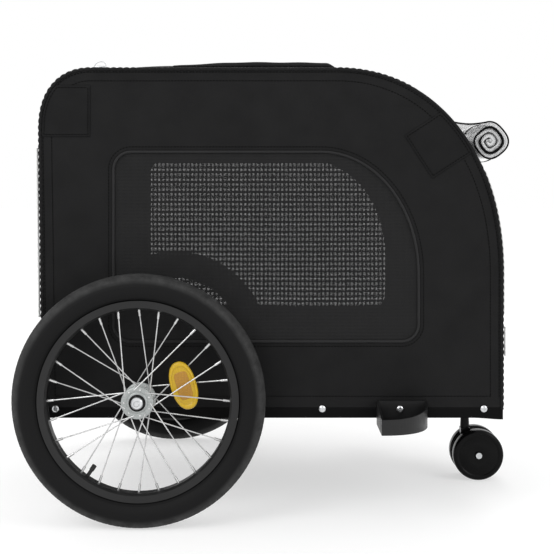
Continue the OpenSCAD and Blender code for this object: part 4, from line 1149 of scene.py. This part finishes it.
for mark, side in sides.items():
    body, low = "wheel_" + mark.lower(), mark.lower()
    grid = tyreGrid(side)
    faces = gridFaces(*grid.shape[:2], True, True)
    points = grid.reshape(-1, 3)
    makePiece("tyre" + mark, points, outward(points, faces), body, look["tyre"], None,
              ["tyre_" + low])
    points, faces = lathe(hubProfile(), (axleX, side * wheelY, axleZ), side, 96)
    makePiece("hub" + mark, points, faces, body, look["alloy"], None, ["hub_" + low])
    seal = np.array([(0.0098, -0.001), (0.0098, 0.0007), (0.0104, 0.0012), (0.0124, 0.0012), (0.0132, 0.0006),
                     (0.0132, -0.001)]) + (0, hubHalf)
    points, faces = lathe(seal, (axleX, side * wheelY, axleZ), side, 64)
    makePiece("hubSeal" + mark, points, faces, body, look["seal"])
    points, faces = spokeHeads(side)
    makePiece("spokeHeads" + mark, points, faces, body, look["spoke"], weld=True)
    points, faces = reflectorPanel(side)
    makePiece("reflectorPanel" + mark, points, faces, body, look["amberPanel"], weld=True)
    points, faces = reflectorRim(side)
    makePiece("reflector" + mark, points, faces, body, look["amber"], None,
              ["reflector_" + low], weld=True)
    receiverLow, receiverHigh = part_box("axle_receiver_" + low)
    tube = (receiverHigh[0] - receiverLow[0]) / 2
    grommet = np.array([(tube + 0.0003, -0.0014), (tube + 0.0003, 0.0012), (tube + 0.0012, 0.0021),
                        (tube + 0.0042, 0.0018), (tube + 0.0056, 0.0004), (tube + 0.0056, -0.0014)])
    points, faces = lathe(grommet, (axleX, side * sideY, axleZ), side, 72)
    makePiece("axleGrommet" + mark, points, faces, "chassis", look["seal"])
print("wheels made")


# Caster discs: a solid wheel with a rounded tread, a shallow step and a dished face.

caster = {"bore": 0.0041, "innerRound": 0.004, "outerRound": 0.006, "step": 0.0012}
for mark, side in sides.items():
    node = "caster_wheel_" + mark.lower()
    low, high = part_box(node)
    centreX, centreZ, radius = (low[0] + high[0]) / 2, (low[2] + high[2]) / 2, (high[2] - low[2]) / 2
    near, far = (low[1], high[1]) if side > 0 else (-high[1], -low[1])
    turn = np.linspace(0, np.pi / 2, 9)
    bore, inner, outer, step = caster["bore"], caster["innerRound"], caster["outerRound"], caster["step"]
    profile = np.concatenate([
        [(bore, near), (radius - inner, near)],
        np.column_stack([radius - inner + inner * np.sin(turn), near + inner - inner * np.cos(turn)]),
        np.column_stack([radius - outer + outer * np.cos(turn), far - step - outer + outer * np.sin(turn)]),
        [(radius - 0.0085, far - 0.0014), (radius - 0.0095, far - 0.0026), (radius - 0.0105, far - 0.0027),
         (radius - 0.0125, far - 0.0018), (radius * 0.5, far - 0.0005), (0.009, far), (0.0072, far - step),
         (bore, far - step)]])
    points, faces = lathe(profile, (centreX, 0.0, centreZ), side, 160)
    makePiece("casterDisc" + mark, points, faces, "caster_disc_" + mark.lower(),
              look["caster"], None, [node])


# Zip sliders: a rounded body, and a wire loop or a flat tab.

def roundedBlock(low, high, fullness=4.0):
    # a superellipsoid that fills the box
    t = np.linspace(0, np.pi, 15)[:, None]
    turn = np.linspace(0, 2 * np.pi, 28, endpoint=False)[None, :]
    power = lambda v: np.sign(v) * np.abs(v) ** (2 / fullness)
    unit = np.stack([power(np.sin(t)) * power(np.cos(turn)), power(np.sin(t)) * power(np.sin(turn)),
                     power(np.cos(t)) + 0 * turn], -1)
    low, high = np.array(low), np.array(high)
    points = ((low + high) / 2 + unit * (high - low) / 2).reshape(-1, 3)
    faces = gridFaces(15, 28, True)
    return points, outward(points, faces)


slider = {"body": 0.0042, "wire": 0.0007, "lean": 0.62, "foot": 0.0012, "tab": 0.0016}
low, high = (np.array(corner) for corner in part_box("roof_zip_slider"))
t = np.linspace(0, np.pi, 40)
reachX, top = (high[0] - low[0]) / 2 - slider["foot"], high[2] - slider["wire"]
foot = low[2] + slider["body"] * 0.6
apex = (low[0] + high[0]) / 2 + (slider["lean"] - 0.5) * 2 * reachX * np.sin(t) ** 2
loop = np.column_stack([apex - reachX * np.cos(t), np.full(40, (low[1] + high[1]) / 2),
                        foot + (top - foot) * np.sin(t) ** 0.8])
wireSection = roundProfile(2 * slider["wire"], 2 * slider["wire"], 8)
wirePoints, wireFaces, wireCaps = sweep(loop, (0, 1, 0), wireSection)
blockPoints, blockFaces = roundedBlock(low, (high[0], high[1], low[2] + slider["body"]))
points, faces = joined([(wirePoints, wireFaces), (blockPoints, blockFaces)])
foldDown(makePiece("roofZipPull", points, faces, "roof_slider", look["zinc"], None,
                   ["roof_zip_slider"], wireCaps))

low, high = (np.array(corner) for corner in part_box("door_zip_slider"))
waist = (low[2] + high[2]) / 2
tabLow = (low[0], low[1] + slider["tab"], low[2])
tabHigh = (low[0] + slider["tab"], high[1] - slider["tab"], waist + slider["body"])
points, faces = joined([roundedBlock((low[0], low[1], waist), high), roundedBlock(tabLow, tabHigh)])
foldDown(makePiece("doorZipPull", points, faces, "door_slider", look["zinc"], None,
                   ["door_zip_slider"]))


# Floor mat: a quilted pad, pulled in along a diamond of sewn lines.

matLow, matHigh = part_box("floor_mat")
mat = {"rows": 180, "columns": 150, "diamond": 0.075, "inset": 0.001, "under": 0.0002, "base": 0.0008}
lengths = np.linspace(matLow[0] + mat["inset"], matHigh[0] - mat["inset"], mat["rows"])
widths = np.linspace(matLow[1] + mat["inset"], matHigh[1] - mat["inset"], mat["columns"])
x, y = np.meshgrid(lengths, widths, indexing="ij")
quilt = np.minimum(np.abs(np.sin(np.pi * (x + y) / mat["diamond"])),
                   np.abs(np.sin(np.pi * (x - y) / mat["diamond"])))
toEdge = np.minimum(np.minimum(x - matLow[0], matHigh[0] - x), np.minimum(y - matLow[1], matHigh[1] - y))
rise = np.sqrt(np.clip(toEdge / 0.006, 0, 1)) * (0.62 + 0.38 * np.minimum(1, quilt * 2.2) ** 0.5)
top = np.stack([x, y, matLow[2] + mat["base"] + (matHigh[2] - matLow[2]) * rise], -1)
points, faces = wallBetween(top, np.stack([x, y, 0 * x + matLow[2] + mat["under"]], -1))
floorMat = makePiece("floorMat", points, faces, "chassis", look["mat"],
                     np.tile(np.stack([x, y], -1).reshape(-1, 2), (2, 1)), ["floor_mat"])
print("mat made")


# CAD nodes that stay take their finish here.

finish = {
    "frame": ["side_rail_r", "side_rail_l", "cross_rails", "front_rail", "leg_brackets", "front_leg_r",
              "front_leg_l", "front_bars", "rear_leg_r", "rear_leg_l", "rear_bars", "axle_receiver_r",
              "axle_receiver_l", "tow_receiver"],
    "zinc": ["hinge_bolts", "hem_screws", "axle_r", "axle_l", "axle_button_r", "axle_button_l",
             "caster_axle"],
    "spoke": ["spokes_r", "spokes_l"],
    "rim": ["rim_r", "rim_l"],
    "board": ["floor_board"],
    "plastic": ["deflector_r", "deflector_l", "valve_r", "valve_l"],
    "caster": ["caster_yoke"],
}
for key, names in finish.items():
    for name in names:
        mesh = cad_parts[name].data
        mesh.materials.clear()
        mesh.materials.append(look[key])


# Pale floor, soft light, and a camera that looks level at the right side.

studio = {
    "eye": (-0.0036, -2.145, 0.532), "lens": 75.2, "sensor": 36, "shift": (0.0054, -0.1580), "world": 1.0,
    "floorSize": 60, "floorGlow": 0.55,
    "lamps": (("keyLight", (-1.6, -2.2, 2.2), (0, 0, 0.4), 1.6, 30),   # name, place, aim, width, power
              ("fillLight", (2.2, -1.6, 1.4), (0, 0, 0.4), 1.4, 14),
              ("backLight", (0.4, 2.4, 2.4), (0, 0, 0.5), 1.6, 20)),
}
bpy.ops.mesh.primitive_plane_add(size=studio["floorSize"], location=(0, 0, 0))
floor = bpy.context.object
floor.name = "floor"
floorMaterial, tree, shader = newMaterial("paleFloor", 0.9, Emission_Color=(1, 1, 1, 1),
                                          Emission_Strength=studio["floorGlow"])
tint(tree, shader, noise(tree, coordsOf(tree, "Object"), 2.0), (0.44, 0.44, 0.44), (0.46, 0.46, 0.46))
floor.data.materials.append(floorMaterial)

world = bpy.data.worlds.new("studio")
world.use_nodes = True
world.node_tree.nodes["Background"].inputs["Color"].default_value = (1, 1, 1, 1)
world.node_tree.nodes["Background"].inputs["Strength"].default_value = studio["world"]
bpy.context.scene.world = world
bpy.context.scene.view_settings.view_transform = "Standard"


def softLight(name, place, aim, size, power):
    # a round area lamp at place, turned so that its axis runs from place to aim
    data = bpy.data.lights.new(name, "AREA")
    data.shape, data.size, data.energy = "DISK", size, power
    lamp = bpy.data.objects.new(name, data)
    bpy.context.scene.collection.objects.link(lamp)
    direction = np.array(aim, float) - np.array(place, float)
    lamp.location = place
    flat = float(np.hypot(direction[0], direction[1]))
    lamp.rotation_euler = (np.arctan2(flat, -direction[2]), 0,
                           np.arctan2(direction[1], direction[0]) - np.pi / 2)


for lamp in studio["lamps"]:
    softLight(*lamp)

cameraData = bpy.data.cameras.new("camera")
cameraData.lens, cameraData.sensor_width = studio["lens"], studio["sensor"]
cameraData.shift_x, cameraData.shift_y = studio["shift"]
camera = bpy.data.objects.new("camera", cameraData)
bpy.context.scene.collection.objects.link(camera)
camera.location = studio["eye"]
camera.rotation_euler = (np.pi / 2, 0, 0)
bpy.context.scene.camera = camera
print("studio made")

bpy.context.view_layer.update()
